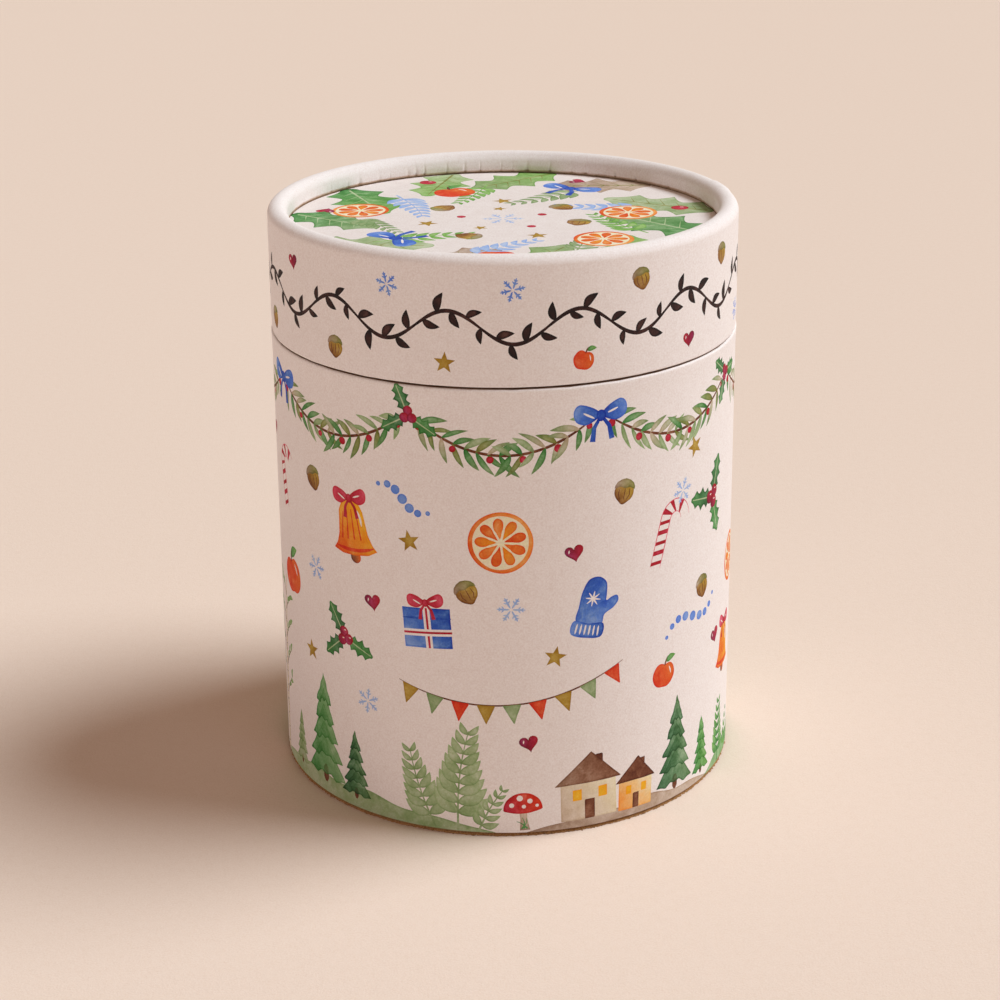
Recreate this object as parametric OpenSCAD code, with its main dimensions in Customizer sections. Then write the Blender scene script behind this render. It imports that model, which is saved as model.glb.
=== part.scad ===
// Round gift tin of wound paperboard: a body with an inner neck tube, and a lift-off lid with a
// rolled rim that slides down over the neck until it seats on the neck's top edge.
// The origin is the centre of the bottom ring, +Z is up, and the front faces -Y.

/* [Tin] */
// Outside diameter over the printed paper
tin_d = 100; // [75:1:150]
// Overall height with the lid on
tin_h = 125; // [90:1:220]
// Height of the lid, from its lower edge to the top of the rim
lid_h = 26.5; // [16:0.5:50]
// Height of the open seam between the body's edge and the lid's edge
seam_gap = 0.4; // [0.2:0.05:1.2]

/* [Board] */
// Wall of the lid tube, which is also the board rolled over at the rim
lid_board = 1.25; // [0.8:0.05:1.8]
// Wall of the neck tube
neck_board = 1.2; // [0.7:0.05:2.5]
// Thickness of the round boards in the base and in the lid
disc_board = 2; // [1:0.1:4]

/* [Papers] */
// Printed wrapping paper on the body and on the lid
wrap_t = 0.2; // [0.1:0.01:0.35]
// Facing papers on the neck, on the lid's disc and under the base
facing_t = 0.15; // [0.08:0.01:0.3]
// Lining papers inside the neck, the lid and the base
lining_t = 0.15; // [0.08:0.01:0.3]

/* [Rim] */
// Width of the rolled rim, from the outside of the lid to the rim's inner face
rim_w = 4.2; // [3.6:0.1:8]
// Depth of the printed disc below the top of the rim
rim_drop = 4.7; // [4:0.1:9]

/* [Fit] */
// Running gap all round between the lid's lining and the neck's facing
slide_gap = 0.25; // [0.1:0.05:0.6]
// Bare board left between the lid's lower edge and its lining
lining_setback = 0.8; // [0.2:0.1:4]

/* [Base] */
// Height of the base's underside above the table
base_recess = 3; // [1:0.1:12]
// Bare board that shows under the body's paper, rounded over to its own height
bare_foot = 0.85; // [0.2:0.05:1.2]
// Radius at which the board is broken where the paper folds round an edge
fold_round = 0.4; // [0.1:0.05:0.7]

/* [Hidden] */
// Overrun of every cut past the face that it leaves through
over = 1;
$fn = 96;

// Heights
seam_z = tin_h - lid_h;
body_top = seam_z - seam_gap;
body_tube_top = body_top - wrap_t;
disc_top = tin_h - rim_drop;
lid_disc_top = disc_top - facing_t;
lid_disc_z = lid_disc_top - disc_board;
neck_top = lid_disc_z - lining_t;
base_disc_z = base_recess + facing_t;
base_top = base_disc_z + disc_board;
inside_floor = base_top + lining_t;

// Radii
tin_r = tin_d / 2;
tube_r = tin_r - wrap_t;
lid_in_r = tube_r - lid_board;
neck_face_r = lid_in_r - lining_t - slide_gap;
neck_r = neck_face_r - facing_t;
neck_in_r = neck_r - neck_board;
inside_r = neck_in_r - lining_t;

// The rim's section: a half circle on top of the wall, with a straight leg down to the disc
rim_r = tin_r - rim_w / 2;
rim_z = tin_h - rim_w / 2;
rim_hollow_r = rim_w / 2 - wrap_t - lid_board;

// Rectangle in the section plane, given by its two corners
module block(r_in, z_low, r_out, z_high) {
    translate([r_in, z_low])
        square([r_out - r_in, z_high - z_low]);
}

// What rounding takes off an outer corner at (r, z): side is 1 for a top corner, -1 for a bottom one
module corner_waste(r, z, round, side) {
    translate([r - round, z - side * round])
        mirror([0, side > 0 ? 0 : 1])
            difference() {
                square([round + over, round + over]);
                circle(r = round);
            }
}

// Upper half of a circle round the rim's centre
module rim_arc(r) {
    translate([rim_r, rim_z])
        intersection() {
            circle(r = r);
            block(-r, 0, r, r);
        }
}

// A tube between two radii and two heights
module sleeve(r_out, r_in, z_low, z_high) {
    translate([0, 0, z_low])
        difference() {
            cylinder(r = r_out, h = z_high - z_low);
            translate([0, 0, -over])
                cylinder(r = r_in, h = z_high - z_low + 2 * over);
        }
}

// A round card between two heights
module card(r, z_low, z_high) {
    translate([0, 0, z_low])
        cylinder(r = r, h = z_high - z_low);
}

// Section of the body's wall with its top edge rounded, out to radius r and up to height z
module body_section(r, z, round) {
    difference() {
        block(neck_r, 0, r, z);
        corner_waste(r, z, round, 1);
    }
}

// Section of the lid's wall, rolled rim and leg, filled, all set in from the outside by inset
module lid_section(inset, round) {
    difference() {
        block(lid_in_r, seam_z + inset, tin_r - inset, rim_z);
        corner_waste(tin_r - inset, seam_z + inset, round, -1);
    }
    rim_arc(rim_w / 2 - inset);
    block(tin_r - rim_w + inset, disc_top, tin_r - inset, rim_z);
}

// The rim's hollow, down to the disc
module rim_hollow() {
    rim_arc(rim_hollow_r);
    block(rim_r - rim_hollow_r, disc_top - over, lid_in_r, rim_z);
}

// Outer tube of the body, which stands on its own cut edge
module body_tube() {
    color("#B9A084")
        rotate_extrude()
            difference() {
                body_section(tube_r, body_tube_top, fold_round);
                corner_waste(tube_r, 0, bare_foot, -1);
            }
}

// Printed paper round the body, folded over the top edge as far as the neck
module body_wrap() {
    color("#EADFD8")
        rotate_extrude()
            difference() {
                body_section(tin_r, body_top, fold_round + wrap_t);
                body_section(tube_r, body_tube_top, fold_round);
                block(0, -over, tin_r + over, bare_foot);
            }
}

// Inner tube, glued inside the body from the base to above the seam
module neck_tube() {
    color("#C2AB90")
        sleeve(neck_r, neck_in_r, base_top, neck_top);
}

// Kraft paper on the outside of the neck, where the lid slides
module neck_facing() {
    color("#93704C")
        sleeve(neck_face_r, neck_r, body_top, neck_top);
}

// Grease-proof paper inside the neck
module neck_lining() {
    color("#E9E2D6")
        sleeve(neck_in_r, inside_r, inside_floor, neck_top);
}

// Round board that closes the bottom of the body
module base_disc() {
    color("#B39B80")
        card(neck_r, base_disc_z, base_top);
}

// Paper on the underside of the base
module base_facing() {
    color("#E6DCD2")
        card(neck_r, base_recess, base_disc_z);
}

// Grease-proof paper on the inside of the base
module base_lining() {
    color("#E9E2D6")
        card(neck_in_r, base_top, inside_floor);
}

// Wall of the lid, with its top rolled over and down to the disc
module lid_tube() {
    color("#B9A084")
        rotate_extrude()
            difference() {
                lid_section(wrap_t, fold_round);
                rim_hollow();
            }
}

// Printed paper round the lid: under its lower edge, up the wall, over the rim and down to the disc
module lid_wrap() {
    color("#EFE6E0")
        rotate_extrude()
            difference() {
                lid_section(0, fold_round + wrap_t);
                lid_section(wrap_t, fold_round);
                rim_hollow();
            }
}

// Grease-proof paper inside the lid's wall
module lid_lining() {
    color("#E9E2D6")
        sleeve(lid_in_r, lid_in_r - lining_t, seam_z + lining_setback, neck_top);
}

// Round board of the lid, held under the rolled rim
module lid_disc() {
    color("#B39B80")
        card(lid_in_r, lid_disc_z, lid_disc_top);
}

// Printed paper on top of the lid's disc
module lid_facing() {
    color("#EBE0D9")
        card(lid_in_r, lid_disc_top, disc_top);
}

// Grease-proof paper under the lid's disc, which seats on the neck
module lid_underlay() {
    color("#E9E2D6")
        card(lid_in_r, neck_top, lid_disc_z);
}

body_tube();
body_wrap();
neck_tube();
neck_facing();
neck_lining();
base_disc();
base_facing();
base_lining();
lid_tube();
lid_wrap();
lid_lining();
lid_disc();
lid_facing();
lid_underlay();
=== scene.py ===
# %% [markdown]
# # A round gift tin of paperboard
#
# The real object is a tube of wound board with a printed paper glued round it. A second, thinner
# tube stands inside as a neck, and the lid slides down over it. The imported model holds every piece
# at its real size. This script adds what the eye meets: the painted winter print, the folds of the
# paper, the cut edges of the board, the table and the light.

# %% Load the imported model
import bpy
import cmath
import math
import random
from collections import defaultdict
import numpy as np
from mathutils import Matrix, Vector
from mathutils.geometry import delaunay_2d_cdt


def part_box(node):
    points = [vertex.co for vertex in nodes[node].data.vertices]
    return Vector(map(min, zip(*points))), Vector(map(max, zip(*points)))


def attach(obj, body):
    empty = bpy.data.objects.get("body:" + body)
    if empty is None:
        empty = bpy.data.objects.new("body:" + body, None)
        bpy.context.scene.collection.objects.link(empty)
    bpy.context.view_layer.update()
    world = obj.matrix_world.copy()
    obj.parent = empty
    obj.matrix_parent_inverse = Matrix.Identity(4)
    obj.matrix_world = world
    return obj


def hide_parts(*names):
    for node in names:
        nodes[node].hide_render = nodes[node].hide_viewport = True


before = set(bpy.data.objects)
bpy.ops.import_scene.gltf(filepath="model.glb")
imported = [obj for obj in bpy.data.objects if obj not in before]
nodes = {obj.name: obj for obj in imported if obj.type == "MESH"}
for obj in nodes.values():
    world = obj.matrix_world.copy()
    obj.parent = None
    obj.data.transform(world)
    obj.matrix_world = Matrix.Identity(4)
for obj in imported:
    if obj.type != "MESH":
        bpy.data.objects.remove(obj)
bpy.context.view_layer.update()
print("pieces in the frame:", ", ".join(sorted(nodes)))

# %% [markdown]
# ## Sizes
#
# Nothing is measured twice. The radii and heights are read from the pieces themselves, in
# millimetres, because papers and folds are easier to think of in millimetres than in metres.

# %% Read the sizes from the pieces
MM = 0.001


def reach(name):
    """A round piece's outer radius, lowest and highest height, in millimetres."""
    low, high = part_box(name)
    return high.x / MM, low.z / MM, high.z / MM


def least_radius(name):
    """The radius at which a hollow round piece begins, in millimetres."""
    return min(math.hypot(v.co.x, v.co.y) for v in nodes[name].data.vertices) / MM


tin_r, wrap_low, wrap_high = reach("body_wrap")
tube_r = reach("body_tube")[0]
wrap_t = tin_r - tube_r
neck_r = least_radius("body_wrap")
lid_low, tin_h = reach("lid_wrap")[1:]
lid_in_r, facing_low, disc_top = reach("lid_facing")
rim_w = tin_r - least_radius("lid_wrap")
rim_z = tin_h - rim_w / 2
around = 2 * math.pi * tin_r
fold_r = 0.42  # outer radius of the paper where it folds over an edge
print(f"tin {2 * tin_r:.1f} x {tin_h:.1f} mm, {around:.1f} round, seam at {lid_low:.1f}, "
      f"rim {rim_w:.2f} wide")

# %% [markdown]
# ## Camera
#
# The camera stands where the photographer's did. Its distance, height and tilt were fitted to the
# tin's outline, seam and rim, so it looks down at about 18 degrees with a short telephoto lens.
# The fit is closer if the photo's optical centre lies above its middle, so the frame is shifted by
# a tenth of its width.
# A camera looks along its own -Z, so its axes are worked out from the tilt and set as a matrix.

# %% Set up the camera
camera_distance = 460.8  # millimetres from the tin's axis
camera_height = 232.3  # millimetres above the table
camera_pitch = math.radians(18.34)
camera_yaw = math.radians(-0.12)
camera_roll = math.radians(-0.51)
focal_share = 2.215  # focal length as a share of the picture's width
frame_shift = -0.1  # how far the frame is shifted up, as a share of its width
sensor_width = 36.0


def stand(name, data):
    """A new object in the scene."""
    made = bpy.data.objects.new(name, data)
    bpy.context.scene.collection.objects.link(made)
    return made


def camera_matrix():
    """Where the camera stands and how it is turned, in metres."""
    look = Vector((math.sin(camera_yaw) * math.cos(camera_pitch),
                   math.cos(camera_yaw) * math.cos(camera_pitch), -math.sin(camera_pitch)))
    level = Vector((math.cos(camera_yaw), -math.sin(camera_yaw), 0))
    upward = level.cross(look)
    right = level * math.cos(camera_roll) + upward * math.sin(camera_roll)
    up = upward * math.cos(camera_roll) - level * math.sin(camera_roll)
    turn = Matrix((right, up, -look)).transposed().to_4x4()
    return Matrix.Translation(Vector((0, -camera_distance, camera_height)) * MM) @ turn


camera = stand("camera", bpy.data.cameras.new("camera"))
camera.data.sensor_fit = "HORIZONTAL"
camera.data.sensor_width = sensor_width
camera.data.lens = focal_share * sensor_width
camera.data.shift_y = frame_shift
camera.data.clip_start = 0.01
camera.matrix_world = camera_matrix()
bpy.context.scene.camera = camera
print(f"lens {camera.data.lens:.1f} mm on a {sensor_width:.0f} mm sensor")

# %% [markdown]
# ## Colours
#
# Colours are written as sRGB hex values, as a paint chart gives them. Blender computes light in
# linear values, so one function converts them.
#
# The print is transparent watercolour. A dye doesn't add light, it takes light away from the
# paper under it, and twice the dye takes it away twice. So each ink is kept as a density, the
# negative logarithm of the share of light that it lets through. Densities add up where washes
# overlap, and a material can thin or pool the ink by multiplying the density.

# %% Colour helpers and the paint box


def linear(hex_colour):
    """Linear RGB of an sRGB hex colour."""
    parts = [int(hex_colour[i:i + 2], 16) / 255 for i in (1, 3, 5)]
    return [c / 12.92 if c <= 0.04045 else ((c + 0.055) / 1.055) ** 2.4 for c in parts]


paper_white = linear("#F1E9E4")


def density(hex_colour):
    """Optical density of the ink that gives this colour on the tin's own paper."""
    shares = [max(c, 0.004) / p for c, p in zip(linear(hex_colour), paper_white)]
    return np.array([max(0.0, -math.log(s)) for s in shares])


PAINT = {
    "orange": "#E0661F", "apricot": "#F0A050", "yellow": "#F2B01E", "crimson": "#B8233A",
    "rose": "#D9566A", "vermilion": "#D9441F", "cobalt": "#2B56B4", "sky": "#6F93DA",
    "pale_blue": "#A5BDE4", "sage": "#93A878", "pale_sage": "#B4C49A", "leaf": "#4F8C4B",
    "spring": "#86B45E", "fir": "#3F6B45", "olive": "#8A8A48", "gold": "#B08E36",
    "taupe": "#A88F7C", "sand": "#CDB9A4", "brown": "#6E3D26", "plum": "#8C2452",
    # The last ink in this row is not an ink of the print: it is a dark brown for painted shade in
    # the seams and along the foot of the rim.
    "night": "#2A120E", "cream": "#F5E7C4", "tint": "#EAE0DA", "painted_shade_brown": "#6F4328",
}
INK = {name: density(value) for name, value in PAINT.items()}
print(len(INK), "inks; cobalt's densities:", np.round(INK["cobalt"], 2))

# %% [markdown]
# ## Painting on a flat sheet
#
# The real paper was printed flat and then rolled round the board, so the print is designed flat
# too. A point on the sheet is one complex number, millimetres across plus millimetres up times i.
# To turn and enlarge a motif is then a single multiplication.
#
# A sheet collects inks in painting order. A wash is a closed outline, and a line is a chain of
# small four-sided pieces, as wide as the brush is at that place.

# %% A sheet to paint on
STEP = 0.42  # spacing of the points along an outline, in millimetres
RIM_BAND = 0.42  # how far the darker edge of a wash reaches in, in millimetres


def dye_of(ink):
    """An ink's densities. ink is a name, or densities already."""
    return INK[ink] if isinstance(ink, str) else ink


class Sheet:
    """The inks painted on one flat sheet of paper."""

    def __init__(self, seed):
        self.inks = []
        self.random = random.Random(seed)

    def wash(self, outline, ink, to=None, axis=None, hand=0.0, over=0.0, edge=1.0):
        """A closed shape of ink that fades to a second ink along axis. hand is the wobble of the
        brush in millimetres, and over is the share that it keeps of the inks under it."""
        if hand:
            outline = by_hand(self.random, outline, hand)
        ring = outline if area(outline) > 0 else outline[::-1]
        self.inks.append({"rings": [np.array(ring)], "ink": dye_of(ink), "to": dye_of(to),
                          "axis": axis, "over": over, "edge": edge, "line": False})

    def line(self, path, width, ink, edge=0.45, shape=None):
        """A brush line along path. shape(t) gives the width's share at t from 0 to 1."""
        shape = shape or (lambda t: min(1.0, 0.35 + 3 * t, 0.35 + 3 * (1 - t)))
        path = evenly(path, STEP)
        count = len(path)
        sides = []
        for i, p in enumerate(path):
            way = path[min(i + 1, count - 1)] - path[max(i - 1, 0)]
            half = width / 2 * shape(i / (count - 1)) * 1j * way / abs(way)
            sides.append((p + half, p - half))
        rings = [np.array([b0, b1, a1, a0]) for (a0, b0), (a1, b1) in zip(sides, sides[1:])]
        self.inks.append({"rings": rings, "ink": dye_of(ink), "to": None, "axis": None,
                          "over": 0.0, "edge": edge, "line": True})


def area(ring):
    """Signed area of a closed outline, positive when it runs anticlockwise."""
    z = np.asarray(ring)
    return float((z.conj() * np.roll(z, -1)).imag.sum() / 2)


def evenly(path, step):
    """The same path with points at equal steps, and its ends kept."""
    z = np.asarray(path, complex)
    run = np.concatenate([[0], np.cumsum(np.abs(np.diff(z)))])
    count = max(3, round(run[-1] / step) + 1)
    even = np.linspace(0, run[-1], count)
    return list(np.interp(even, run, z.real) + 1j * np.interp(even, run, z.imag))


def place(at, turn=0.0, size=1.0):
    """A function that puts a motif's own points on the sheet."""
    k = size * cmath.exp(1j * turn)
    return lambda points: at + k * np.asarray(points)


def closed(shape, perimeter):
    """Points of the closed curve shape(t), t from 0 to 1, at about the usual spacing."""
    count = max(10, round(perimeter / STEP))
    return np.array([shape(i / count) for i in range(count)])


def circle(radius, centre=0j, perimeter=None):
    """Points of a circle. A shorter perimeter than the real one gives it fewer of them."""
    perimeter = perimeter or math.tau * radius
    return closed(lambda t: centre + radius * cmath.exp(1j * math.tau * t), perimeter)


def polygon(corners):
    """Points of a closed outline with straight sides."""
    sides = zip(corners, corners[1:] + corners[:1])
    return np.concatenate([evenly(side, STEP)[:-1] for side in sides])


def loop_through(points):
    """A smooth closed curve through a few (x, y) points."""
    z = np.array([complex(x, y) for x, y in points])
    pieces = []
    for a, b, c, d in zip(np.roll(z, 1), z, np.roll(z, -1), np.roll(z, -2)):
        count = max(2, round(abs(c - b) / STEP))
        t = np.arange(count) / count
        pieces.append(b + t * (c - a) / 2 + t ** 2 * (2 * a - 5 * b + 4 * c - d) / 2
                      + t ** 3 * (3 * b - a - 3 * c + d) / 2)
    return np.concatenate(pieces)


def by_hand(draw, ring, amount):
    """The outline with the slow wobble of a hand-held brush."""
    count = len(ring)
    waves = [(k, draw.uniform(0, math.tau), amount * draw.uniform(0.3, 1) / k ** 0.7)
             for k in (2, 3, 5, 8)]
    t = np.arange(count) / count * math.tau
    push = sum(a * np.cos(k * t + p) for k, p, a in waves)
    way = np.roll(ring, -1) - np.roll(ring, 1)
    return ring + push * -1j * way / np.maximum(np.abs(way), 1e-9)


print("a sheet starts bare:", len(Sheet(0).inks), "inks")

# %% [markdown]
# ## Motifs
#
# Each motif is one short function that paints itself near the origin, pointing along its own +x
# or standing on its own base, and is put in place by the function that place() returns. They are
# everyday winter things: holly, ferns, firs, a birch, orange slices, apples, nuts, bells, parcels,
# mittens, canes, toadstools, bunting, small houses, stars and snowflakes. None is taken from
# another picture.
#
# Paper left bare inside a wash is how a watercolour shows a highlight. The ink named bare has no
# density, so painting with it reserves the paper.

# %% Leaves, twigs and berries
INK["bare"] = np.zeros(3)


def leaf_outline(length, width, bend):
    """A leaf from its stalk at 0 to its tip at length."""
    def at(t):
        spine = length * t + 1j * bend * length * math.sin(math.pi * t)
        return spine, width / 2 * math.sin(math.pi * t ** 0.8) ** 0.85
    count = max(7, round(length / STEP))
    sides = [at(i / count) for i in range(count + 1)]
    up = [spine + 1j * half for spine, half in sides]
    down = [spine - 1j * half for spine, half in sides[-2:0:-1]]
    return np.array(up + down)


def leaf(sheet, put, length, width, ink, to=None, bend=0.12):
    """A leaf of one wash."""
    outline = put(leaf_outline(length, width, bend))
    sheet.wash(outline, ink, to, put([0, length]), hand=0.02 * width)


def leaf_from(sheet, root, tip, length, width, ink, to=None, bend=0.12):
    """A leaf that grows at root towards tip."""
    way = tip - root
    leaf(sheet, place(root, cmath.phase(way), abs(way)), length, width, ink, to, bend)


def berry(sheet, put, radius, shade="plum"):
    """A round berry with a highlight left bare."""
    axis = put([radius * (0.7 + 0.7j), radius * (-0.9 - 0.9j)])
    sheet.wash(put(circle(radius)), "crimson", shade, axis, hand=0.05 * radius)
    if radius > 1.1:
        gleam = closed(lambda t: radius * (0.28 + 0.34j + 0.24 * math.cos(math.tau * t)
                                           + 0.1j * math.sin(math.tau * t)), 2 * radius)
        sheet.wash(put(gleam), "bare", edge=0)


def frond(sheet, put, length, ink, pairs, to=None, width=0.34):
    """A stem with leaflets in pairs that get smaller towards the tip."""
    stem = [length * t + 1j * 0.08 * length * math.sin(2.2 * t) for t in np.linspace(0, 1, 14)]
    sheet.line(put(stem), 0.5, ink, shape=lambda t: 1 - 0.6 * t)
    for i in range(pairs):
        t = 0.2 + 0.76 * i / (pairs - 1)
        root = length * t + 1j * 0.08 * length * math.sin(2.2 * t)
        size = length * width * (1.1 - 0.72 * t)
        for s in (1, -1):
            root_tip = put(root + np.array([0, cmath.exp(1j * s * 0.95 * (1 - 0.35 * t))]))
            leaf_from(sheet, *root_tip, size, size * 0.42, ink, to, 0.1 * s)


def holly(sheet, put, length, ink, to="leaf", vein="pale_sage", over=0.0):
    """A holly leaf: points on both sides, and a light vein."""
    count = max(56, round(3 * length))

    def half(t):
        scallop = abs((3.5 * t + 0.25) % 1 - 0.5) * 2
        return 0.27 * length * math.sin(math.pi * t ** 0.9) ** 0.5 * (0.62 + 0.55 * scallop ** 1.6)
    steps = [i / count for i in range(count + 1)]
    up = [length * t + 1j * half(t) for t in steps]
    down = [length * t - 1j * half(t) for t in reversed(steps[1:-1])]
    sheet.wash(put(up + down), ink, to, put([0, length]), over=over)
    sheet.line(put([0.06 * length, 0.5 * length, 0.92 * length]), 0.25 + 0.012 * length, vein,
               shape=lambda t: 1 - 0.5 * t)
    if length > 12:
        for i in range(5):
            root = length * (0.16 + 0.14 * i)
            for s in (1, -1):
                tip = root + 0.17 * length * (0.75 + 1j * s) * math.sin(math.pi * (0.24 + 0.13 * i))
                sheet.line(put([root, tip]), 0.28, vein, shape=lambda u: 1 - 0.7 * u)


def sprig(sheet, put, size):
    """Three holly leaves and three berries."""
    for turn in (2.45, 0.75, -1.75):
        at = put([0.0, cmath.exp(1j * turn)])
        way = at[1] - at[0]
        holly(sheet, place(at[0] + 0.9 * way, cmath.phase(way), abs(way)), 7.2 * size,
              "fir" if turn > 0 else "leaf")
    for k in range(3):
        at = put([1.15 * size * cmath.exp(1j * (0.4 + k * math.tau / 3))])[0]
        berry(sheet, place(at), 1.25 * size)


def count_inks(motif, *sizes):
    """Prints how many inks a motif takes."""
    trial = Sheet(1)
    motif(trial, place(0), *sizes)
    print(motif.__name__.replace("_", " "), "takes", len(trial.inks), "inks")


count_inks(sprig, 1.0)

# %% [markdown]
# The larger motifs are built the same way, from washes with a few lines on top. Stripes and dots
# that stay white on the real thing are reserved, not painted, so the paper's own texture runs
# through them.

# %% Orange slices, bows, parcels and mittens


def orange_slice(sheet, put, radius):
    """A slice of orange: rind, pith and nine segments."""
    sheet.wash(put(circle(radius)), "orange", "apricot", put([-radius, radius]), hand=0.12)
    sheet.wash(put(circle(0.87 * radius)), "cream", hand=0.1, edge=0)
    parts = 9
    for k in range(parts):
        middle = math.tau * k / parts
        half = math.pi / parts * 0.84

        def edge_of(t, middle=middle, half=half):
            a = math.tau * t
            r = radius * (0.46 + 0.34 * math.cos(a))
            widen = 1.02 if r > 0.4 * radius else 0.9
            return r * cmath.exp(1j * (middle + half * math.sin(a) * widen))
        tone = ("orange", "yellow", "apricot")[k % 3]
        sheet.wash(put(closed(edge_of, 1.5 * radius)), tone, "orange",
                   put([0, radius * cmath.exp(1j * middle)]), hand=0.06)


def bow(sheet, put, size, ink="cobalt", to="sky"):
    """A bow with two loops, two tails and a knot. Its loops are 4.5 mm long at size 1."""
    for s in (1, -1):
        tail = np.array([0, s * 1.3 - 1.9j, s * 1.7 - 4.2j])
        sheet.line(put(size * tail), 0.95 * size, ink, shape=lambda t: 0.5 + 0.5 * t)
        loop = [(0, 0.2), (1.6, 1.6), (3.6, 2.3), (4.6, 1.3), (4.3, -0.5), (2.7, -1.2), (1.1, -0.7)]
        ring = loop_through([(s * x, y) for x, y in loop])
        sheet.wash(put(size * ring), ink, to, put([0, 4.5 * s * size]), hand=0.05)
        fold_line = [s * (1.2 + 0.3j), s * 3.0 + 0.8j]
        sheet.line(put(size * np.array(fold_line)), 0.34 * size, "bare", edge=0)
    knot = closed(lambda t: 0.85 * math.cos(math.tau * t) + 1.0j * math.sin(math.tau * t), 5)
    sheet.wash(put(size * knot), ink)


def parcel(sheet, put, size):
    """A wrapped parcel: its ribbon is left bare with a thin line in it, and a bow sits on top."""
    corners = [-4.4 + 0.2j, 4.2 - 0.1j, 4.5 + 7.2j, -4.2 + 7.5j]
    sheet.wash(put(size * polygon(corners)), "cobalt", "sky",
               put(size * np.array([4 + 6j, -4 + 1j])), hand=0.06)
    lid_line = np.array([-4.3 + 5.6j, 4.5 + 5.4j])
    sheet.line(put(size * lid_line), 0.4 * size, "cobalt")
    for way in (np.array([0.1 + 0j, 0.2 + 7.4j]), np.array([-4.35 + 2.9j, 4.4 + 2.8j])):
        sheet.line(put(size * way), 1.25 * size, "bare", edge=0, shape=lambda t: 1)
        sheet.line(put(size * way), 0.4 * size, "crimson", shape=lambda t: 1)
    bow(sheet, lambda z: put(np.asarray(z) + size * (0.2 + 8.3j)), 0.72 * size, "crimson", "rose")


def mitten(sheet, put, size, ink="cobalt", to="sky"):
    """A knitted mitten with a striped cuff and a small star left bare."""
    hand = [(-2.3, 0), (-2.6, 3.2), (-2.5, 6.2), (-1.7, 8.6), (0.2, 9.4), (1.9, 8.5), (2.5, 6.4),
            (2.7, 4.9), (3.6, 5.6), (4.7, 6.0), (5.2, 5.0), (4.4, 3.5), (2.9, 2.1), (2.4, 0)]
    sheet.wash(put(size * loop_through(hand)), ink, to, put(size * np.array([-2 + 9j, 4 + 1j])),
               hand=0.05)
    cuff = loop_through([(-2.9, 0.3), (-3.0, -2.3), (0, -2.8), (3.1, -2.3), (3.0, 0.3), (0, 0.1)])
    sheet.wash(put(size * cuff), to, ink, put(size * np.array([-3, 3])), hand=0.05)
    for x in (-2.2, -1.3, -0.4, 0.5, 1.4, 2.3):
        sheet.line(put(size * np.array([x - 2.2j, 0.96 * x - 0.2j])), 0.34 * size, "bare", edge=0)
    centre = -0.1 + 5.0j
    for k in range(4):
        arm = 1.5 * cmath.exp(1j * math.pi * k / 4)
        sheet.line(put(size * np.array([centre - arm, centre + arm])), 0.32 * size, "bare", edge=0)


count_inks(parcel, 1.0)

# %% Apples, hearts and nuts


def near_angle(a, at, width):
    """1 at the angle at, and next to nothing from twice width away."""
    return math.exp(-((a - at) / width) ** 2)


def apple(sheet, put, radius):
    """An apple with a stalk, a leaf and a highlight left bare."""
    def skin(t):
        a = math.tau * t
        dimple = 0.24 * near_angle(a, math.pi / 2, 0.36) + 0.1 * near_angle(a, 4.71, 0.3)
        return radius * (1 - dimple) * (1.06 * math.cos(a) + 1j * math.sin(a))
    sheet.wash(put(closed(skin, 6.5 * radius)), "vermilion", "orange",
               put([-radius * (0.8 + 0.3j), radius * (0.9 + 0.5j)]), hand=0.04 * radius)
    sheet.line(put(radius * np.array([0.66j, 0.05 + 1.0j, 0.22 + 1.36j])), 0.14 * radius + 0.05,
               "brown")
    root, tip = put(radius * np.array([0.1 + 0.95j, 0.9 + 1.35j]))
    way = tip - root
    leaf(sheet, place(root, cmath.phase(way)), abs(way) * 1.1, 0.5 * radius, "leaf", "spring")
    gleam = [(0.42, 0.62), (0.66, 0.34), (0.7, 0.02), (0.55, 0.3)]
    sheet.wash(put(radius * loop_through(gleam)), "bare", edge=0)


def heart(sheet, put, radius, ink="plum", to="crimson"):
    """A heart with one short stroke left bare."""
    def curve(t):
        a = math.tau * t
        high = 13 * math.cos(a) - 5 * math.cos(2 * a) - 2 * math.cos(3 * a) - math.cos(4 * a)
        return radius / 15 * (16 * math.sin(a) ** 3 + 1j * high)
    sheet.wash(put(closed(curve, 6 * radius)), ink, to, put([-radius, radius]), hand=0.03 * radius)
    sheet.line(put(radius * np.array([-0.62 + 0.05j, -0.5 + 0.42j])), 0.17 * radius, "bare", edge=0)


def nut(sheet, put, radius):
    """A hazelnut: a golden shell with a point below and a taupe cap above."""
    def shell(t):
        a = math.tau * t
        return radius * (1 + 0.2 * near_angle(a, 4.71, 0.35)) * cmath.exp(1j * a)
    sheet.wash(put(closed(shell, 6.5 * radius)), "gold", "brown",
               put([radius * (0.2 + 0.4j), radius * (-1.6 - 1.4j)]), hand=0.03 * radius)
    for x in (-0.5, 0.05, 0.5):
        sheet.line(put(radius * np.array([x + 0.3j, 1.15 * x - 0.25j, 0.7 * x - 0.75j])), 0.2,
                   "brown")
    cap = [(-1.05, 0.25), (-0.85, 0.85), (0, 1.22), (0.85, 0.85), (1.05, 0.25), (0.55, 0.42),
           (0, 0.3), (-0.5, 0.44)]
    sheet.wash(put(radius * loop_through(cap)), "taupe", "olive", put([-radius, radius]))


count_inks(apple, 3.0)

# %% Bells, canes and toadstools


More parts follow.
